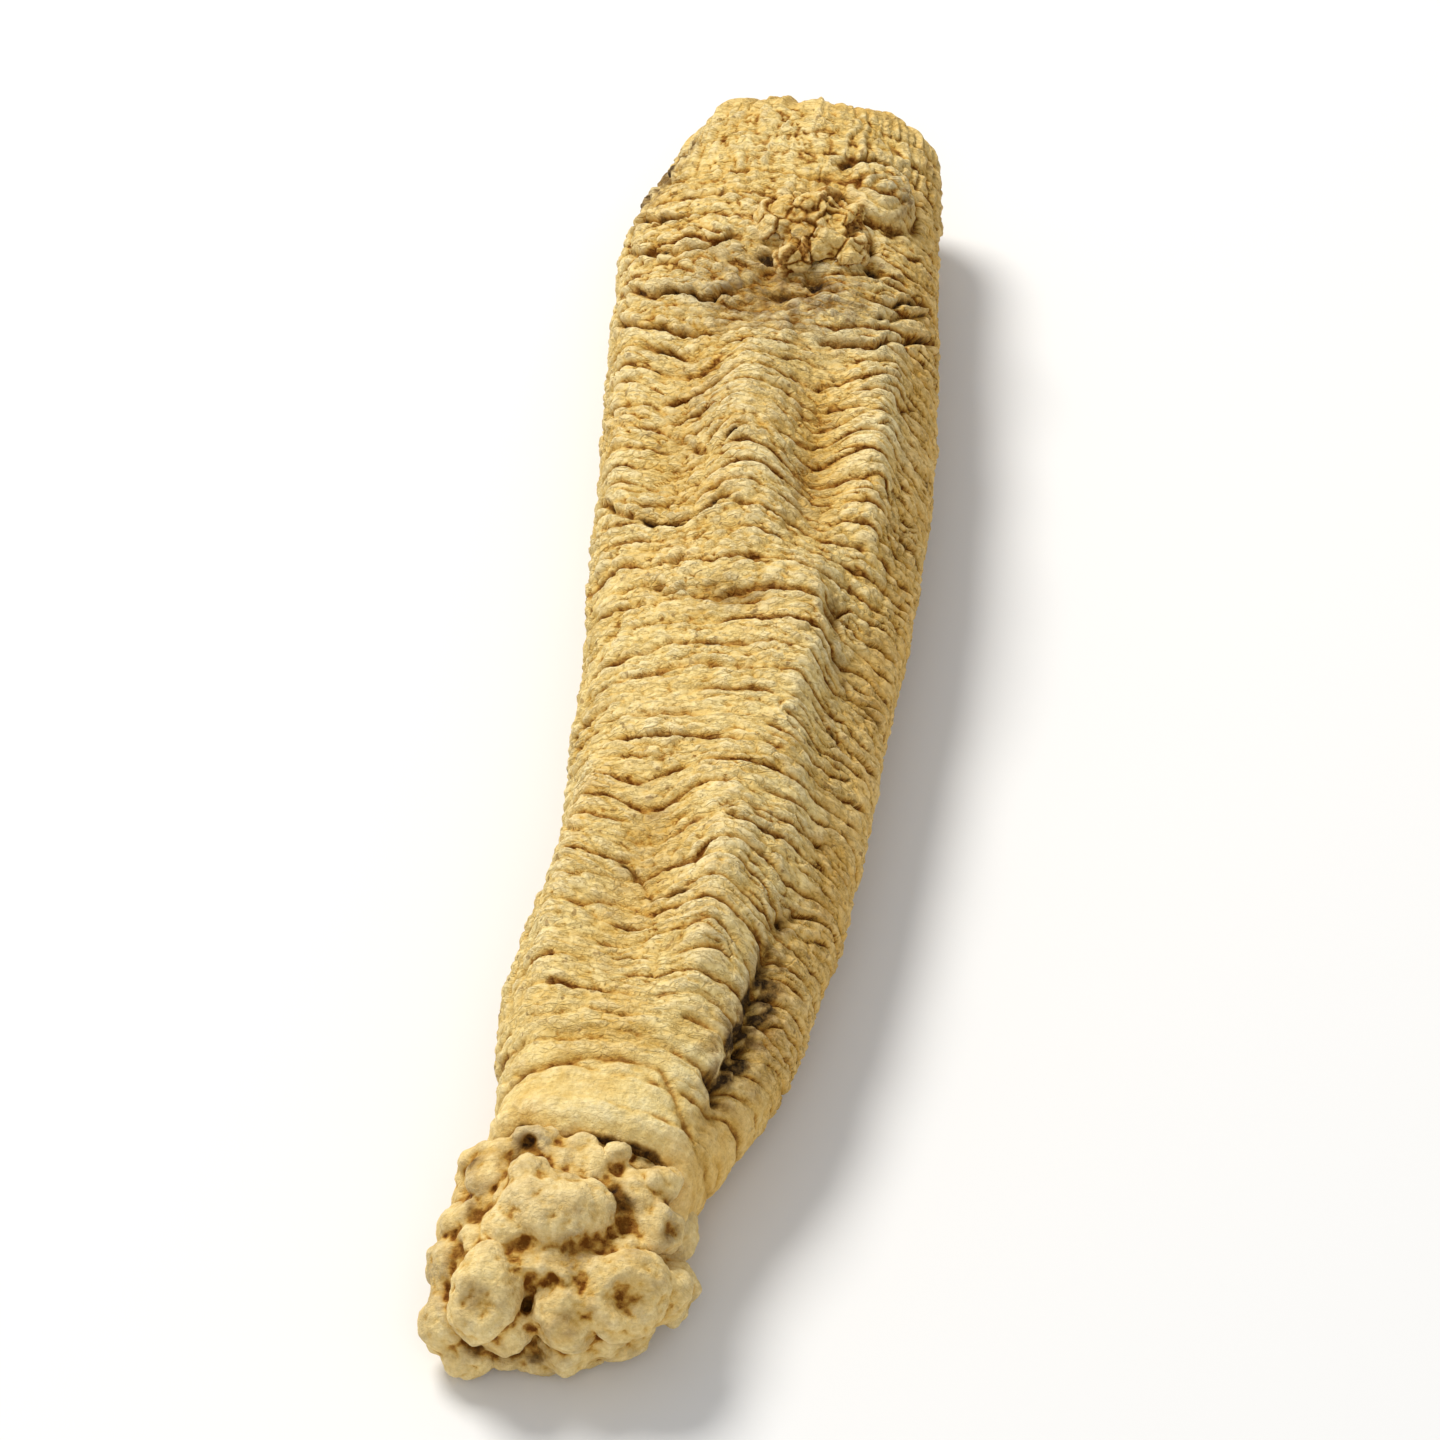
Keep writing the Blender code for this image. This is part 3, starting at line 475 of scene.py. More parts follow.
def body_relief(along, around):
    """Height of the skin over the plain form, its lines of painted shade, its dark places, partly
    painted shade, and its grey ones.
    """
    draw = random.Random(SEED)
    degrees = np.degrees(around) % 360
    place, out = section(along, around)
    ridges = ridge_relief(along, around)
    right = step(0.1, 0.8, np.cos(around))
    upper = step(49, 57, along)

    # Where the rings would lie on a plain root, once ridges and drift have bent them
    drift = 0.3 * np.sin(2 * around + along / 9) + 0.24 * np.sin(3 * around + along / 6)
    bent = along - 0.6 * drift - 0.3 * ridges
    for share, size, seed in ((0.42, 4.5, 21), (0.26, 1.9, 22), (0.12, 0.8, 23)):
        bent = bent - share * bumps(place, size, seed)
    count = ring_count(bent, around, draw)
    laid = np.stack([place[..., 0], bent, place[..., 2]], axis=-1)

    # Rounded rings between narrow folds that come and go
    ring = np.sin(math.pi * count)
    swell = np.minimum(1, 1.35 * np.abs(ring)) ** 0.6 - 0.75
    broken = bumps(laid, (2.6, 1.3, 2.6), 32) + 0.5 * bumps(laid, (1.0, 0.7, 1.0), 34)
    long_lines = 0.5 + 0.4 * right + 0.9 * bumps(laid, (6, 1.6, 6), 31)
    long_lines = np.clip(long_lines + (1.1 - 0.4 * right) * broken, 0, 1.25)
    fold = long_lines * hill(ring, 0.24)
    deep = np.clip(2.2 * bumps(laid, (6, 1.3, 6), 33) - 0.5 + 0.7 * broken, 0, 1)
    deep *= hill(ring, 0.32)
    patch = np.clip(0.55 + 1.2 * bumps(laid, (2.8, 1.8, 2.8), 42) + 0.5 * broken, 0, 1.2)
    between_rings = np.sin(math.pi * (2.3 * count + 0.9 * bumps(laid, (2.0, 1.1, 2.0), 41)))
    small_fold = patch * hill(between_rings, 0.34)
    strength = between(((12, 0.1), (19, 0.8), (24, 1.05), (52, 1.05), (60, 1.15), (72, 1.1),
                        (80, 1.0), (85, 0.72), (89, 0.36), (94, 0.2)), along, 1)
    tail = step(FIBRES_START, FIBRES_FULL, along)
    strength = strength * (0.85 + 0.25 * np.clip(ridges, -0.6, 1)) * (1 + 0.3 * right)
    spread = np.clip(0.75 + 0.8 * bumps(place, 3.6, 35), 0.25, 1.3)
    relief = 0.27 * spread * swell - 0.27 * fold - 0.3 * deep - 0.16 * small_fold
    relief = ridges + strength * relief
    # Painted shade in the folds between and across the rings
    line_shade = 0.95 * fold + 1.05 * deep + 0.6 * small_fold
    line_shade *= strength * (1 + 0.35 * right)

    # Pebbles, where wrinkles cross
    far, edge, _ = shards(laid, (0.95, 0.62, 0.95), 51)
    beaded = np.clip(0.5 - 0.42 * right + 0.9 * bumps(place, 4, 52) + 0.4 * upper, 0.08, 1.2)
    beaded = beaded * step(17, 24, along) * (1 - 0.85 * tail)
    cracks = beaded * step(0.2, 0.02, edge)
    relief += 0.18 * beaded * (1 - np.minimum(1, 1.25 * far) ** 2) - 0.11 * cracks
    line_shade += 0.5 * cracks * np.clip(0.6 + bumps(place, 1.4, 53), 0, 1)
    relief += 0.13 * rough(place, 2.4, 61, 3) + 0.07 * rough(laid, (0.6, 0.36, 0.6), 62, 2)
    crossed = creases(laid, (1.6, 0.7, 1.6), 63)
    relief += 0.17 * step(14, 22, along) * (1 - 0.8 * tail) * (crossed - 0.5)
    line_shade += 0.6 * step(16, 24, along) * (1 - 0.8 * tail) * step(0.22, 0.05, crossed)

    # Fibres that run lengthwise to the cut end
    fibres = creases(place + 0.7 * bumps(place, 2.2, 71)[..., None], (0.75, 4.2, 0.75), 72)
    relief += tail * (0.4 * fibres - 0.24)
    line_shade += 0.6 * tail * step(0.35, 0.1, fibres)

    # Deep single folds, and the grooves round the neck, darkened with painted shade
    dark = np.zeros_like(relief)
    for depth, width, path in FOLDS:
        line, inside = fold_line(path, degrees)
        off = (along + 0.3 * bumps(place, 1.1, 81) + 0.12 * bumps(place, 0.5, 82) - line) / width
        cut = inside * np.clip(0.8 + 0.6 * bumps(place, 1.5, 83), 0.2, 1.2) * hill(off)
        relief += depth * (0.16 * inside * hill(np.abs(off) - 2.4) - cut)
        narrow = depth * np.clip(cut, 0, 1) ** 2
        line_shade += 1.3 * narrow
        dark += 3.0 * narrow * np.clip(0.45 + 1.5 * bumps(place, 0.7, 80), 0.05, 1.2)
    for path, depth, on_right, width in (
        (COLLAR_GROOVE, 0.62, 0.5, 0.24),
        (UPPER_GROOVE, 0.36, 0.7, 0.2),
    ):
        line = between(path, degrees, 1) + 0.3 * bumps(place, 2.4, 84) + 0.1 * bumps(place, 0.8, 85)
        share = np.clip(0.8 + 0.7 * bumps(place, 2.2, 86), 0.2, 1.3)
        share *= depth * (1 - right * (1 - on_right))
        off = (along - line) / (width * np.where(along < line, 1.6, 1.0))
        relief -= share / (1 + off ** 2)
        line_shade += 1.6 * share / (1 + off ** 2) ** 2
        dark += 0.5 * share / (1 + off ** 2) ** 3

    # The swelling beside the scar, wrinkled in rings of its own, with painted shade in its rings
    # and in the groove round its rim
    at, centre, radius, rim = SWELLING
    apart = np.hypot((along - at) / 1.05, off_angle(around, centre))
    mound = np.exp(-((apart / radius) ** 4))
    rings = np.sin(math.tau * (apart / 0.85 + bumps(place, 1.6, 87)))
    relief += mound * (1.15 + 0.14 * rings)
    line_shade += 0.6 * mound * step(-0.5, -1.0, rings)
    rim_share = np.clip(0.7 + 1.2 * bumps(place, 1.3, 79), 0, 1.3)
    relief -= 0.4 * rim_share * hill(apart - rim, 0.4)
    line_shade += 0.9 * rim_share * hill(apart - rim, 0.35)
    dark += 0.5 * rim_share ** 2 * hill(apart - rim, 0.3)

    wander = 1 + 0.5 * bumps(place, 0.9, 88)
    for at, centre, depth, reach, reach_around, shade in PITS:
        there = spot(along, around, at, centre, reach * wander, reach_around * wander)
        relief -= depth * there
        dark += 1.1 * shade * step(0.25, 0.95, there)
    dark_patches = sum(shade * spot(along, around, *where) for *where, shade in DARK_PATCHES)
    dark += dark_patches * np.clip(0.6 + 1.6 * rough(place, 0.9, 89, 3), 0, 1.4)
    relief += 0.3 * dark_patches * rough(place, 0.8, 90, 2)
    grey = sum(shade * spot(along, around, *where) for *where, shade in GREYS)

    # Pressed flat where the root lay while it dried
    relief *= 1 - 0.85 * step(0.5, -0.1, place[..., 2])
    # The painted shade of the lines is lighter along the middle of the root than at its ends
    pale = ((12, 1.0), (20, 0.72), (50, 0.72), (60, 0.85), (72, 0.88), (80, 1.0))
    line_shade *= between(pale, along, 1)
    line_shade *= np.clip(0.8 + 0.7 * bumps(place, 1.2, 64), 0.2, 1.3)
    return place, out, relief, line_shade, dark, grey


# Building meshes
def to_frame(points):
    """Metres in the part's own frame, from millimetres on the root."""
    return (points - np.array((ORIGIN_SIDE, ORIGIN_ALONG, 0))) * MM


def new_object(name, data):
    made = bpy.data.objects.new(name, data)
    bpy.context.scene.collection.objects.link(made)
    return made


def mesh_of(name, points, faces, flat):
    """A mesh from points and faces, smooth apart from the flat faces."""
    data = bpy.data.meshes.new(name)
    data.from_pydata(points, (), faces)
    data.validate()
    smooth = np.ones(len(data.polygons), bool)
    smooth[flat] = False
    data.polygons.foreach_set("use_smooth", smooth)
    return data


def paint(piece, **shades):
    """Stores each shade, one number a vertex, for the material to read."""
    for name, values in shades.items():
        layer = piece.data.attributes.new(name, "FLOAT", "POINT")
        layer.data.foreach_set("value", np.clip(values, 0, 1).astype(np.float32).ravel())


def grid_faces(rows, columns):
    """Faces of a closed grid whose first and last rows are single points."""
    column = np.arange(columns)
    turn = (column + 1) % columns
    faces = []
    for low in range(1, 1 + (rows - 1) * columns, columns):
        high = low + columns
        faces.extend(np.stack([low + column, low + turn, high + turn, high + column], axis=-1))
    low = 1 + (rows - 1) * columns
    first_ring = [(0, 1 + b, 1 + a) for a, b in zip(column, turn)]
    last_ring = [(low + columns, low + a, low + b) for a, b in zip(column, turn)]
    return faces + first_ring + last_ring


class Rows:
    """Rows of places round the root, each with its shades, that close into one piece."""

    def __init__(self):
        self.rows = []

    def add(self, places, flat=False, **shades):
        self.rows.append((places, flat, shades))

    def add_cap(self, rim, out, away):
        """Closes a length inside the root: away is 1 past its end and -1 before its start."""
        middle = rim.mean(axis=0)
        rows = []
        for inset, back in ((0.3, 0.12), (1.3, 0.3)):
            row = rim - inset * out
            row[:, 1] -= away * back
            rows.append(row)
        rows.append(middle + 0.45 * (rows[-1] - middle))
        for row in rows if away > 0 else reversed(rows):
            self.add(row, flat=True)

    def make(self, name):
        places, flats, shades = zip(*self.rows)
        ends = [places[k].mean(axis=0)[None] for k in (0, -1)]
        points = np.concatenate([ends[0], *places, ends[1]])
        # The ground is level
        points[:, 2] = np.maximum(points[:, 2], 0.0)
        flat = []
        for k in range(len(places) - 1):
            if flats[k] or flats[k + 1]:
                flat.extend(range(k * COLUMNS, (k + 1) * COLUMNS))
        faces = grid_faces(len(places), COLUMNS)
        piece = new_object(name, mesh_of(name, to_frame(points), faces, flat))
        for shade in SHADES:
            grid = [np.broadcast_to(row.get(shade, 0.0), (COLUMNS,)) for row in shades]
            paint(piece, **{shade: np.concatenate([[grid[0].mean()], *grid, [grid[-1].mean()]])})
        return piece


def skin_shades(place, out, relief, line_shade, dark, grey, along):
    """The shades of the skin, from its form: grids of numbers from 0 to 1."""
    tall, wide = (LENGTH - 12) / ROWS, math.tau * PERIMETER_RADIUS / COLUMNS
    near = blurred(relief, 0.45 / tall, 0.55 / wide)
    far = blurred(relief, 2.4 / tall, 2.4 / wide)
    fine, broad = near - relief, far - near
    wander = rough(place, 4.0, 131, 3)
    return {
        # Painted shade in grooves and creases
        "groove": np.clip(line_shade + 1.3 * (fine - 0.05), 0, 1),
        # Painted shade in broad hollows, varied at random
        "hollow": step(0.05, 0.8, broad + 0.12 * wander),
        # A painted highlight on what stands out
        "raised": step(0.0, 0.2, -fine) * (1 - np.clip(1.5 * line_shade, 0, 1)),
        "dark": np.clip(dark, 0, 1),
        "grey": np.clip(grey, 0, 1),
        # Painted amber shade on the right side and the underside, with some amber at random
        "tint": np.clip(step(0.35, 0.95, out[..., 0]) + step(0.0, 0.9, -out[..., 2])
                        + 0.35 * wander, 0, 1),
        "skin": 0.3 + 0.7 * step(15, 20, along + wander),
    }


def build_body():
    """The root from the crown's lip to its cut end, in three lengths."""
    even = np.arange(COLUMNS) / COLUMNS * math.tau
    around = even + TOP_DENSITY * np.cos(even)
    lip = between(LIP_EDGE, np.degrees(around) % 360, 1)
    edge_place, _ = section(lip, around)
    lip = lip + 0.45 * bumps(edge_place, 2.6, 91) + 0.2 * bumps(edge_place, 1.0, 92)
    start = LENGTH - END_ROUNDING
    along = lip + (start - lip) * np.linspace(0, 1, ROWS)[:, None]
    angle = np.broadcast_to(around, along.shape)
    place, out, relief, line_shade, dark, grey = body_relief(along, angle)
    # The lip is a rounded flap that turns under
    relief += 0.3 * hill(along - lip - 1.0, 0.9) - 0.5 * np.exp(-(along - lip) / 0.45)
    skin = place + relief[..., None] * out
    shades = skin_shades(place, out, relief, line_shade, dark, grey, along)

    lengths = [Rows(), Rows(), Rows()]
    rim = skin[0]
    neck = rim.mean(axis=0)
    inner = []
    for inset, back in ((0.25, -0.22), (0.6, -0.3), (1.0, -0.12), (1.3, 0.4), (1.5, 1.4)):
        row = rim - inset * out[0]
        row[:, 1] += back
        inner.append(row)
    for part in (0.75, 0.4):
        row = neck + part * (inner[-1] - neck)
        row[:, 1] = inner[-1][:, 1] + 0.2
        inner.append(row)
    # Painted shade under the flap, where it turns in
    for row in reversed(inner):
        lengths[0].add(row, groove=0.6, dark=0.9)
    joints = [0] + [int(part * ROWS) for part in JOINTS] + [ROWS - 1]
    for k, rows in enumerate(lengths):
        first, last = joints[k], joints[k + 1]
        if k > 0:
            rows.add_cap(skin[first], out[first], -1)
        for at in range(first, last + 1):
            rows.add(skin[at], **{name: values[at] for name, values in shades.items()})
        if k < 2:
            rows.add_cap(skin[last], out[last], 1)
    add_cut_end(lengths[2], skin[-1], around, start)
    names = ("root_neck", "root_middle", "root_tail")
    return [rows.make(name) for rows, name in zip(lengths, names)]


def add_cut_end(rows, rim, around, start):
    """Goes over the edge of the cut, where the bark has curled in, and across its face."""
    middle = rim.mean(axis=0)
    reach = np.hypot(*(rim - middle)[:, [0, 2]].T)
    pucker = 0.2 * np.sin(9 * around) + 0.14 * np.sin(14 * around + 1) + 0.12 * bumps(rim, 0.9, 93)
    notch = 0.28 * np.maximum(0, bumps(rim, 1.4, 94))

    def add_ring(part, level, **shades):
        row = middle + np.reshape(part, (-1, 1)) * (rim - middle)
        row[:, 1] = level
        row[:, [0, 2]] += 0.06 * np.stack([bumps(row, 0.5, 95), bumps(row, 0.5, 96)], axis=-1)
        rows.add(row, **shades)

    for degrees_over in np.linspace(6, 90, 20):
        turn = math.radians(degrees_over)
        over = start + (END_ROUNDING + pucker - notch) * math.sin(turn)
        wave = np.sin(31 * around + 2 * np.sin(3 * around))
        # Painted shade in the folds of the curled rim
        fold_shade = 0.5 * np.sin(turn) * np.clip(-wave, 0, 1) ** 2
        add_ring(1 - END_ROUNDING * (1 - math.cos(turn)) / reach, over + 0.1 * np.sin(turn) * wave,
                 dark=0.08 * math.sin(turn), groove=fold_shade, skin=1.0, tint=0.3)
    # Painted shade in the gap under the curled bark
    gap = ((0.15, -0.25, 0.1), (0.4, -0.75, 0.45), (0.6, -0.9, 0.6), (0.8, -0.75, 0.5))
    for inset, level, shade in gap:
        level = LENGTH + level + 0.5 * pucker
        add_ring(1 - (END_ROUNDING + inset) / reach, level, dark=shade, wood=0.3)
    for inset, level in ((0.98, -0.45), (1.15, -0.2), (1.35, -0.12)):
        add_ring(1 - (END_ROUNDING + inset) / reach, LENGTH + level, dark=0.1, wood=0.8)
    inner_share = 1 - (END_ROUNDING + 1.35) / reach
    for part in np.linspace(0.97, 0.03, 40):
        spread = inner_share * part
        at = middle + spread[:, None] * (rim - middle)
        at[:, 1] = 0
        radial = 0.13 * np.abs(np.sin(7 * around + 1.5 * bumps(at, 2.0, 97))) * part
        # A crack across the face, darkened with painted shade
        crack = hill(at[:, 0] - middle[0] - 0.5 - 0.7 * bumps(at, 2.0, 98), 0.3)
        crack *= hill(at[:, 2] - middle[2], 2.2)
        hollow = 0.35 * math.exp(-((part / 0.5) ** 2)) + 0.8 * crack
        grain = 0.1 * rough(at, 0.7, 99, 2)
        add_ring(spread, LENGTH - 0.12 - radial - hollow + grain, dark=0.75 * crack, wood=1.0)


def knob_form(point, form):
    """Shapes the outer half of a unit ball as a lump, a dimpled lump or a stem scar."""
    radius = math.hypot(point.x, point.y)
    if point.z <= 0 or form == "lump":
        return point
    if form == "dimple":
        point.z -= 0.24 * math.exp(-((radius / 0.4) ** 2))
        return point
    rim = 0.16 * math.exp(-(((radius - 0.62) / 0.16) ** 2))
    point.z = 0.72 * point.z ** 0.5 + rim - 0.3 * math.exp(-((radius / 0.26) ** 2))
    return point


def add_ball(mesh, centre, facing, sizes, form="lump", detail=4):
    """Adds one shaped ball to a mesh, turned to face outwards."""
    turn = Vector(facing).to_track_quat("Z", "Y").to_matrix().to_4x4()
    made = bmesh.ops.create_icosphere(mesh, subdivisions=detail, radius=1)
    for vertex in made["verts"]:
        shaped = knob_form(vertex.co.copy(), form)
        stretched = Vector((shaped.x * sizes[0], shaped.y * sizes[1], shaped.z * sizes[2]))
        vertex.co = Vector(centre) + turn @ stretched


def add_core(mesh, stations, columns, inset):
    """Adds the plain form of the root over some stations, inset, as a closed ball."""
    angles = np.arange(columns) / columns * math.tau
    rings = []
    for at in stations:
        place, out = section(np.full(columns, at), angles)
        rings.append([mesh.verts.new(p) for p in place - inset(at, angles)[:, None] * out])
    for low, high in zip(rings, rings[1:]):
        for k in range(columns):
            mesh.faces.new((low[k], low[(k + 1) % columns], high[(k + 1) % columns], high[k]))
    mesh.faces.new(reversed(rings[0]))
    mesh.faces.new(rings[-1])


def remeshed(name, mesh, voxel):
    """One closed skin over everything in a mesh. Points come back in millimetres."""
    data = bpy.data.meshes.new(name)
    bmesh.ops.recalc_face_normals(mesh, faces=mesh.faces)
    mesh.to_mesh(data)
    mesh.free()
    made = new_object(name, data)
    modifier = made.modifiers.new("skin", "REMESH")
    modifier.mode = "VOXEL"
    modifier.voxel_size = voxel
    bpy.context.view_layer.update()
    shown = made.evaluated_get(bpy.context.evaluated_depsgraph_get())
    applied = bpy.data.meshes.new_from_object(shown)
    bpy.data.objects.remove(made)
    return applied


def read_all(items, field, width, kind=np.float32):
    """One field of every item, a row each."""
    values = np.empty(len(items) * width, kind)
    items.foreach_get(field, values)
    return values.reshape(-1, width)


def vertices(data):
    return read_all(data.vertices, "co", 3).astype(float)


def normals(data):
    return read_all(data.vertex_normals, "vector", 3).astype(float)


def neighbours(data):
    return read_all(data.edges, "vertices", 2, np.int32)


def set_vertices(data, points):
    data.vertices.foreach_set("co", points.astype(np.float32).ravel())
    data.update()


def evened(values, pairs, times):
    """Values brought halfway to the mean of their neighbours', so many times."""
    count = np.maximum(np.bincount(pairs.ravel(), minlength=len(values)), 1)
    values = values.copy()
    for _ in range(times):
        for k in range(values.shape[1]):
            total = np.bincount(pairs[:, 0], values[pairs[:, 1], k], len(values))
            total += np.bincount(pairs[:, 1], values[pairs[:, 0], k], len(values))
            values[:, k] += 0.5 * (total / count - values[:, k])
    return values


def depth_below(data, pairs, times):
    """How far each place lies below the skin once that is smoothed."""
    points = vertices(data)
    return np.sum((evened(points, pairs, times) - points) * normals(data), axis=1)


def finish_lumps(name, data, sinks, cut, **extra):
    """Turns a remeshed skin into a piece, with its shades and what is added to them.

    Sinks is how deep a crevice lies to be black with painted shade, and cut how deep a crease lies
    to be brown with it.
    """
    pairs = neighbours(data)
    fine = depth_below(data, pairs, 14)
    broad = depth_below(data, pairs, 130) / sinks
    points = vertices(data)
    points[:, 2] = np.maximum(points[:, 2], 0.0)
    set_vertices(data, to_frame(points))
    data.polygons.foreach_set("use_smooth", np.ones(len(data.polygons), bool))
    piece = new_object(name, data)
    shades = dict.fromkeys(SHADES, 0 * fine)
    # Painted shade in creases and hollows, black in deep crevices, and a painted highlight on what
    # stands out
    shades.update(
        groove=np.clip(fine / cut, 0, 0.7) + 0.6 * step(-0.15, 0.9, broad),
        hollow=step(-0.4, 0.5, broad),
        raised=step(0.0, 0.14, -fine),
        dark=0.7 * step(0.5, 1.25, broad),
        tint=0.3 + 0 * fine,
    )
    paint(piece, **{shade: values + extra.get(shade, 0) for shade, values in shades.items()})
    return piece


def fill_hollows(data, pairs, times, share):
    """Brings what lies below the smoothed skin a share of the way up to it."""
    points = vertices(data)
    away = evened(points, pairs, times) - points
    sunk = step(0.0, 0.25, np.sum(away * normals(data), axis=1))
    set_vertices(data, points + share * sunk[:, None] * away)


def core_inset(along, around):
    """How far under the plain form the crown's core lies, deeper toward the lip."""
    return 0.4 + 0.6 * step(8.5, 12, along) * (0.4 + 0.6 * step(-0.5, 0.5, np.sin(around)))


def build_crown():
    """The crown of stem scars, fused from knobs and small warts."""
    mesh = bmesh.new()
    add_core(mesh, np.linspace(3.8, 15.5, 27), 64, core_inset)
    draw = random.Random(SEED + 1)
    for along, side, level, facing, wide, long, high, *form in KNOBS:
        add_ball(mesh, (side, along, level), facing, (wide, long, high), *form)
    for along, first, last, count in HIDDEN_KNOB_ROWS:
        for k in range(count):
            degrees = first + (last - first) * (k + draw.uniform(-0.25, 0.25)) / (count - 1)
            at = along + draw.uniform(-0.6, 0.6)
            place, out = section(np.array(at), np.array(math.radians(degrees)))
            size = draw.uniform(1.5, 2.2)
            form = draw.choice(("lump", "lump", "dimple", "scar"))
            sizes = (size, size * draw.uniform(0.9, 1.2), size * 0.85)
            add_ball(mesh, place - 0.4 * size * out, (out[0], -0.25, out[2]), sizes, form)
    for _ in range(WARTS):
        at = draw.uniform(2.6, 12.2)
        degrees = draw.uniform(0, 360)
        place, out = section(np.array(at), np.array(math.radians(degrees)))
        size = draw.uniform(0.4, 0.85)
        if any(abs(place[0] - knob[1]) < 0.75 * knob[4] and abs(at - knob[0]) < 0.75 * knob[5]
               and abs(place[2] - knob[2]) < 2.5 for knob in KNOBS):
            continue
        sizes = (size * draw.uniform(0.8, 1.3), size, size * draw.uniform(0.6, 1.0))
        sunk = 0.35 + 0.6 * core_inset(at, math.radians(degrees))
        facing = (out[0] + draw.uniform(-0.4, 0.4), draw.uniform(-0.9, 0.1),
                  out[2] + draw.uniform(-0.3, 0.3))
        add_ball(mesh, place - sunk * out, facing, sizes, draw.choice(("lump", "dimple")), 3)
    data = remeshed("root_crown", mesh, CROWN_VOXEL)
    pairs = neighbours(data)
    fill_hollows(data, pairs, 60, 0.55)
    points = evened(vertices(data), pairs, 5)
    set_vertices(data, points)
    swell = 0.26 * rough(points, 1.6, 111, 2) + 0.1 * (creases(points, 1.5, 113) - 0.5)
    swell += 0.06 * rough(points, 0.5, 115, 2)
    dark = 0.22 * np.clip(rough(points, 1.5, 117, 3) - 0.1, 0, 1)
    for side, at, level, depth, reach, shade in CROWN_PITS:
        there = near(points, (side, at, level), reach)
        swell -= depth * there
        dark += shade * there * np.clip(0.8 + 0.8 * bumps(points, 0.6, 116), 0, 1.3)
    grey = 0.55 * np.clip(rough(points, 1.3, 119, 3) + 0.15, 0, 1)
    for side, at, level, reach, shade in CROWN_GREYS:
        grey += shade * near(points, (side, at, level), reach)
    points = points + swell[:, None] * normals(data)
    set_vertices(data, points)
    # A painted highlight on the big knob at the top, on a paler ground over the whole crown
    pale = 0.35 + 0.5 * near(points, (-1.9, 7.0, 9.6), (2.8, 2.0, 1.6))
    blotched = 0.5 * np.clip(rough(points, 1.9, 118, 3) + 0.1, 0, 1)
    return finish_lumps("root_crown", data, 0.45, 0.1, dark=dark, grey=grey, skin=0.3,
                        hollow=blotched, raised=pale)


def build_scar():
    """The warty scar of a side root: a low mound broken into tilted flakes."""
    mesh = bmesh.new()
    draw = random.Random(SEED + 2)
    lumps = [(*knob, 0.6) for knob in SCAR_KNOBS]
    for _ in range(SCAR_LUMPS):
        spread = math.sqrt(draw.uniform(0.1, 1))
        turn = draw.uniform(0, math.tau)
        along = SCAR_CENTRE[0] + SCAR_REACH[0] * spread * math.sin(turn)
        degrees = SCAR_CENTRE[1] + SCAR_REACH[1] * spread * math.cos(turn)
        lift = 1.0 * (1 - spread ** 2) + draw.uniform(-0.2, 0.2)
        lumps.append((along, degrees, lift, draw.uniform(0.6, 1.0), 0.8))
    for along, degrees, lift, radius, flatness in lumps:
        around = np.array(math.radians(degrees))
        place, out = section(np.array(along), around)
        relief = ridge_relief(np.array(along), around)
        facing = (out[0] + draw.uniform(-0.3, 0.3), draw.uniform(-0.5, 0.3), out[2])
        sizes = (radius * 0.85, radius * 0.8, radius * flatness)
        add_ball(mesh, place + (relief + lift) * out, facing, sizes, detail=3)
    data = remeshed("side_root_scar", mesh, SCAR_VOXEL)
    pairs = neighbours(data)
    fill_hollows(data, pairs, 40, 0.4)
    points = evened(vertices(data), pairs, 3)
    set_vertices(data, points)
    warped = points + 0.2 * bumps(points, 1.0, 120)[:, None]
    _, wide_edge, wide = shards(warped, 1.6, 121)
    _, small_edge, small = shards(points, 0.7, 123)
    cracks = step(0.14, 0.02, wide_edge) + 0.3 * step(0.14, 0.02, small_edge)
    swell = 0.62 * wide + 0.18 * small - 0.12 * cracks + 0.1 * rough(points, 0.9, 125, 3)
    points = points + swell[:, None] * normals(data)
    set_vertices(data, points)
    set_vertices(data, evened(points, pairs, 1))
    worn = 1.5 * near(points, (2.0, 79.4, 11.6), (1.1, 1.2, 1.5))
    # The highest flakes get a painted highlight, and painted shade in their cracks
    return finish_lumps("side_root_scar", data, 0.4, 0.12, groove=0.5 * cracks, grey=worn,
                        skin=0.7, raised=0.6 * np.clip(2 * wide, 0, 1))


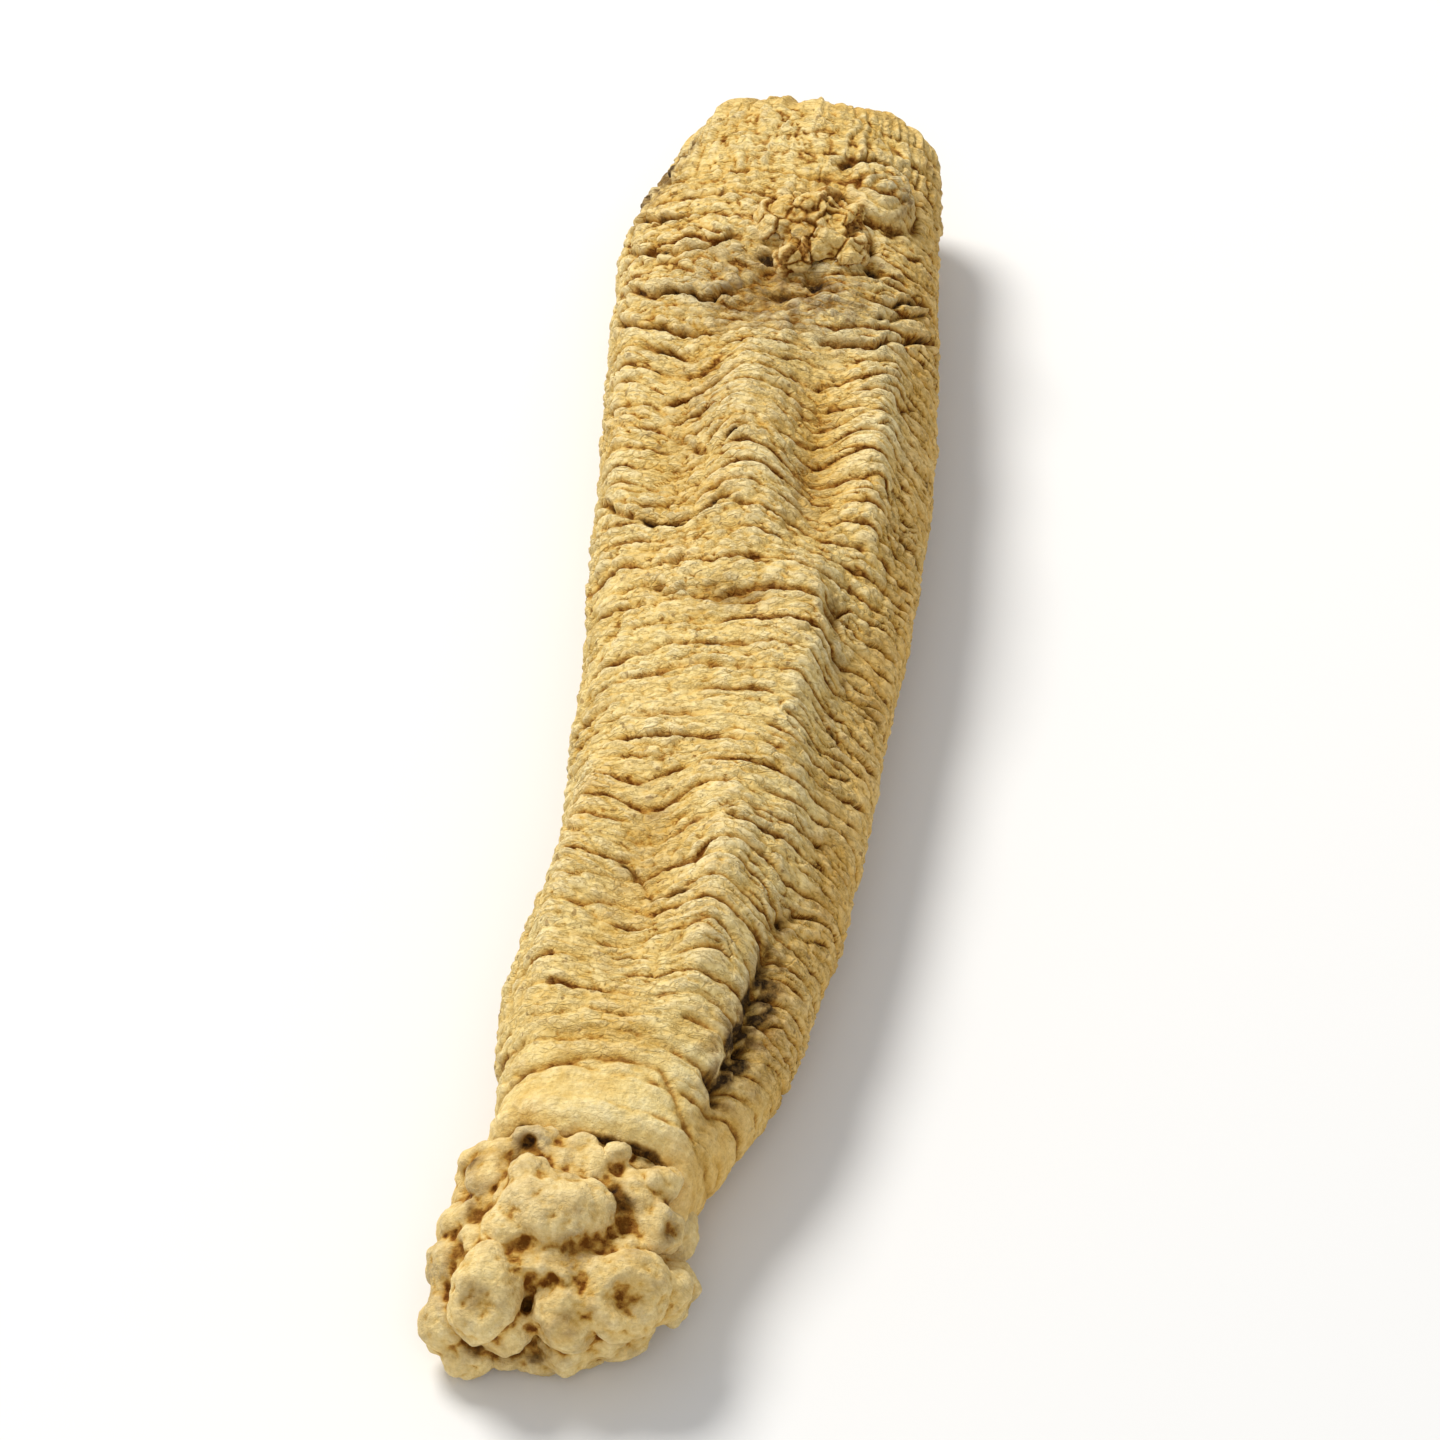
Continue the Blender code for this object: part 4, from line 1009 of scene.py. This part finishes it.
# Material
class Nodes:
    """Short ways to add shader nodes to one material."""

    def __init__(self, name):
        self.material = bpy.data.materials.new(name)
        self.material.use_nodes = True
        self.tree = self.material.node_tree
        self.shader = self.tree.nodes["Principled BSDF"]

    def add(self, kind, inputs=(), **settings):
        node = self.tree.nodes.new(kind)
        for key, value in settings.items():
            setattr(node, key, value)
        for key, value in dict(inputs).items():
            if isinstance(value, bpy.types.NodeSocket):
                self.tree.links.new(value, node.inputs[key])
            else:
                node.inputs[key].default_value = value
        return node

    def shade(self, name):
        return self.add("ShaderNodeAttribute", attribute_name=name).outputs["Fac"]

    def math(self, operation, a, b=0.0, clamp=False):
        node = self.add("ShaderNodeMath", {0: a, 1: b}, operation=operation)
        node.use_clamp = clamp
        return node.outputs[0]

    def times(self, a, b, clamp=False):
        return self.math("MULTIPLY", a, b, clamp)

    def plus(self, a, b):
        return self.math("ADD", a, b)

    def noise(self, place, size, detail=3.0, roughness=0.55):
        """Noise from 0 to 1 whose lumps are size millimetres across."""
        inputs = {"Vector": place, "Scale": 1 / size, "Detail": detail, "Roughness": roughness}
        return self.add("ShaderNodeTexNoise", inputs).outputs["Fac"]

    def ramp(self, value, *stops):
        node = self.add("ShaderNodeValToRGB", {"Fac": value})
        points = node.color_ramp.elements
        while len(points) < len(stops):
            points.new(0.5)
        for point, (position, colour) in zip(points, stops):
            point.position = position
            point.color = (*colour, 1) if isinstance(colour, tuple) else (colour, colour, colour, 1)
        return node.outputs["Color"]

    def mix(self, share, a, b, blend="MIX"):
        node = self.add("ShaderNodeMix", data_type="RGBA", blend_type=blend)
        for socket, value in ((node.inputs[0], share), (node.inputs[6], a), (node.inputs[7], b)):
            if isinstance(value, bpy.types.NodeSocket):
                self.tree.links.new(value, socket)
            else:
                socket.default_value = (*value, 1) if isinstance(value, tuple) else value
        return node.outputs[2]


def root_material():
    n = Nodes(SLOT)
    where = n.add("ShaderNodeTexCoord").outputs["Object"]
    place = n.add("ShaderNodeMapping", {"Vector": where, "Scale": (1000, 1000, 1000)}).outputs[0]
    across = n.add("ShaderNodeMapping", {"Vector": where, "Scale": (700, 1800, 700)}).outputs[0]
    groove, hollow, raised, dark, grey, wood, tint, skin = (n.shade(name) for name in SHADES)

    # Straw to tan, in patches, streaks and fine mottling
    patches = n.noise(place, 5.5, 3)
    mottle = n.noise(place, 0.9, 5, 0.62)
    streaks = n.noise(across, 1.0, 3)
    tone = n.plus(n.times(patches, 0.35), n.times(mottle, 0.4))
    tone = n.plus(tone, n.times(streaks, 0.25))
    bark = n.ramp(tone, (0.34, (0.64, 0.41, 0.105)), (0.44, (0.78, 0.565, 0.20)),
                  (0.53, (0.87, 0.68, 0.29)), (0.66, (0.93, 0.79, 0.42)))
    # Greyed patches, more in hollows
    greyed = n.ramp(n.noise(place, 1.7, 4), (0.54, 0.0), (0.68, 1.0))
    greyed = n.times(greyed, n.plus(n.times(hollow, 0.65), 0.08))
    bark = n.mix(greyed, bark, (0.40, 0.29, 0.17))
    greyed = n.ramp(n.noise(place, 0.7, 4, 0.65), (0.38, 0.1), (0.56, 1.0))
    greyed = n.times(greyed, n.times(grey, 0.9))
    bark = n.mix(greyed, bark, (0.275, 0.215, 0.14))
    # Painted highlight, pale, on what stands out; painted amber shade on the right side and the
    # underside, with some amber at random, and painted amber shade in hollows
    bark = n.mix(n.times(raised, 0.5), bark, (0.94, 0.83, 0.53))
    side_shade_amber = n.mix(1.0, bark, (0.99, 0.80, 0.52), "MULTIPLY")
    bark = n.mix(n.times(tint, 0.7), bark, side_shade_amber)
    bark = n.mix(n.times(hollow, 0.34), bark, (0.58, 0.34, 0.065))

    # Fine cracks and threads across the skin, that gather in the folds; painted shade darkens the
    # grooves, creases and cracks from brown to near black
    warped = n.mix(0.5, across, n.noise(place, 0.8, 2), "ADD")
    cell = n.add("ShaderNodeTexVoronoi", {"Vector": warped, "Scale": 1.15},
                 feature="DISTANCE_TO_EDGE")
    cracks = n.ramp(cell.outputs["Distance"], (0.0, 1.0), (0.09, 0.0))
    thread = n.math("ABSOLUTE", n.math("SUBTRACT", n.noise(across, 0.8, 4, 0.6), 0.5))
    threads = n.ramp(thread, (0.0, 1.0), (0.035, 0.0))
    patchy = n.ramp(n.noise(place, 2.2, 3), (0.4, 0.15), (0.6, 1.0))
    line_shade = n.math("MAXIMUM", n.times(cracks, patchy), n.times(threads, 0.75))
    line_shade = n.times(line_shade, skin)
    ragged = n.ramp(n.noise(place, 0.34, 3, 0.65), (0.3, 1.35), (0.7, 0.65))
    fold_shade = n.times(n.plus(groove, n.times(line_shade, 0.26)), ragged, True)
    crease_shade_brown = n.ramp(fold_shade, (0.25, (0.66, 0.38, 0.045)), (0.6, (0.40, 0.17, 0.010)),
                   (1.0, (0.17, 0.052, 0.002)))
    bark = n.mix(n.ramp(fold_shade, (0.0, 0.0), (0.25, 0.4), (0.5, 0.8), (1.0, 1.0)), bark, crease_shade_brown)
    # Grains lighter and darker, and small dark specks
    grains = n.ramp(n.noise(place, 0.24, 2, 0.6), (0.3, (0.86, 0.81, 0.70)),
                    (0.7, (1.1, 1.1, 1.12)))
    bark = n.mix(0.8, bark, grains, "MULTIPLY")
    flecks = n.ramp(n.noise(place, 0.5, 2, 0.4), (0.29, 1.0), (0.33, 0.0))
    flecks = n.times(n.times(flecks, 0.55), skin)
    bark = n.mix(flecks, bark, (0.24, 0.11, 0.025))

    # The cut face: pale pith, darker pores, a brown line under the bark
    pores = n.ramp(n.noise(place, 0.3, 3, 0.7), (0.36, 1.0), (0.5, 0.0))
    pith = n.ramp(n.noise(place, 1.3, 4), (0.3, (0.64, 0.46, 0.19)), (0.65, (0.86, 0.72, 0.41)))
    pith = n.mix(n.times(pores, 0.5), pith, (0.36, 0.2, 0.07))
    colour = n.mix(wood, bark, pith)
    # Painted shade in folds, grooves, crevices and gaps, and dark stains and blotches, brown to
    # near black
    stain_and_shade = n.times(dark, ragged, True)
    black = n.ramp(stain_and_shade, (0.3, (0.22, 0.095, 0.010)), (1.0, (0.028, 0.011, 0.003)))
    colour = n.mix(n.ramp(stain_and_shade, (0.0, 0.0), (0.5, 0.75), (1.0, 0.97)), colour, black)
    n.tree.links.new(colour, n.shader.inputs["Base Color"])

    rough = n.ramp(n.noise(place, 0.5, 3), (0.3, 0.62), (0.7, 0.86))
    n.tree.links.new(rough, n.shader.inputs["Roughness"])
    n.shader.inputs["Specular IOR Level"].default_value = 0.12

    # Grain and cracks finer than the mesh
    grain = n.plus(n.times(n.noise(place, 0.3, 4, 0.65), 0.6),
                   n.times(n.noise(across, 0.5, 3), 0.4))
    grain = n.math("SUBTRACT", grain, n.times(line_shade, 0.3))
    bump = n.add("ShaderNodeBump", {"Height": grain, "Strength": 0.85, "Distance": 0.00032})
    n.tree.links.new(bump.outputs[0], n.shader.inputs["Normal"])
    return n.material


# The studio
def aim(obj, target):
    obj.rotation_euler = (Vector(target) - obj.location).to_track_quat("-Z", "Y").to_euler()


def add_lights():
    for name, place, size, power, colour in LIGHTS:
        data = bpy.data.lights.new(name, "AREA")
        data.shape = "DISK"
        data.size = size
        data.energy = power
        data.color = colour
        light = new_object(name, data)
        light.location = place
        aim(light, (0, 0, 0))


def add_studio():
    """A pale floor in a plain room, with soft light."""
    mesh = bmesh.new()
    bmesh.ops.create_grid(mesh, x_segments=1, y_segments=1, size=FLOOR_HALF_WIDTH)
    data = bpy.data.meshes.new("floor")
    mesh.to_mesh(data)
    mesh.free()
    floor = new_object("floor", data)
    paper = bpy.data.materials.new("paper")
    paper.use_nodes = True
    inputs = paper.node_tree.nodes["Principled BSDF"].inputs
    inputs["Base Color"].default_value = FLOOR_COLOUR
    inputs["Roughness"].default_value = 0.9
    floor.data.materials.append(paper)

    world = bpy.data.worlds.new("room")
    world.use_nodes = True
    background = world.node_tree.nodes["Background"]
    background.inputs["Color"].default_value = ROOM_COLOUR
    background.inputs["Strength"].default_value = ROOM_STRENGTH
    bpy.context.scene.world = world
    add_lights()


def add_camera():
    """Looks down the root from its crown end, as the photograph does."""
    turn, tilt = math.radians(VIEW_TURN), math.radians(VIEW_TILT)
    look = Vector((math.sin(turn) * math.cos(tilt), math.cos(turn) * math.cos(tilt),
                   -math.sin(tilt)))
    target = Vector(VIEW_TARGET) * MM
    data = bpy.data.cameras.new("camera")
    data.sensor_fit = "HORIZONTAL"
    data.sensor_width = SENSOR
    data.lens = SENSOR * VIEW_DISTANCE / VIEW_WIDTH
    camera = new_object("camera", data)
    camera.location = target - look * VIEW_DISTANCE
    aim(camera, target)
    bpy.context.scene.camera = camera


material = root_material()
pieces = [*build_body(), build_crown(), build_scar()]
for piece in pieces:
    piece.data.materials.clear()
    piece.data.materials.append(material)
    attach(piece, "root")
    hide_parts(NODE)
add_studio()
add_camera()
bpy.context.scene.view_settings.view_transform = "Standard"
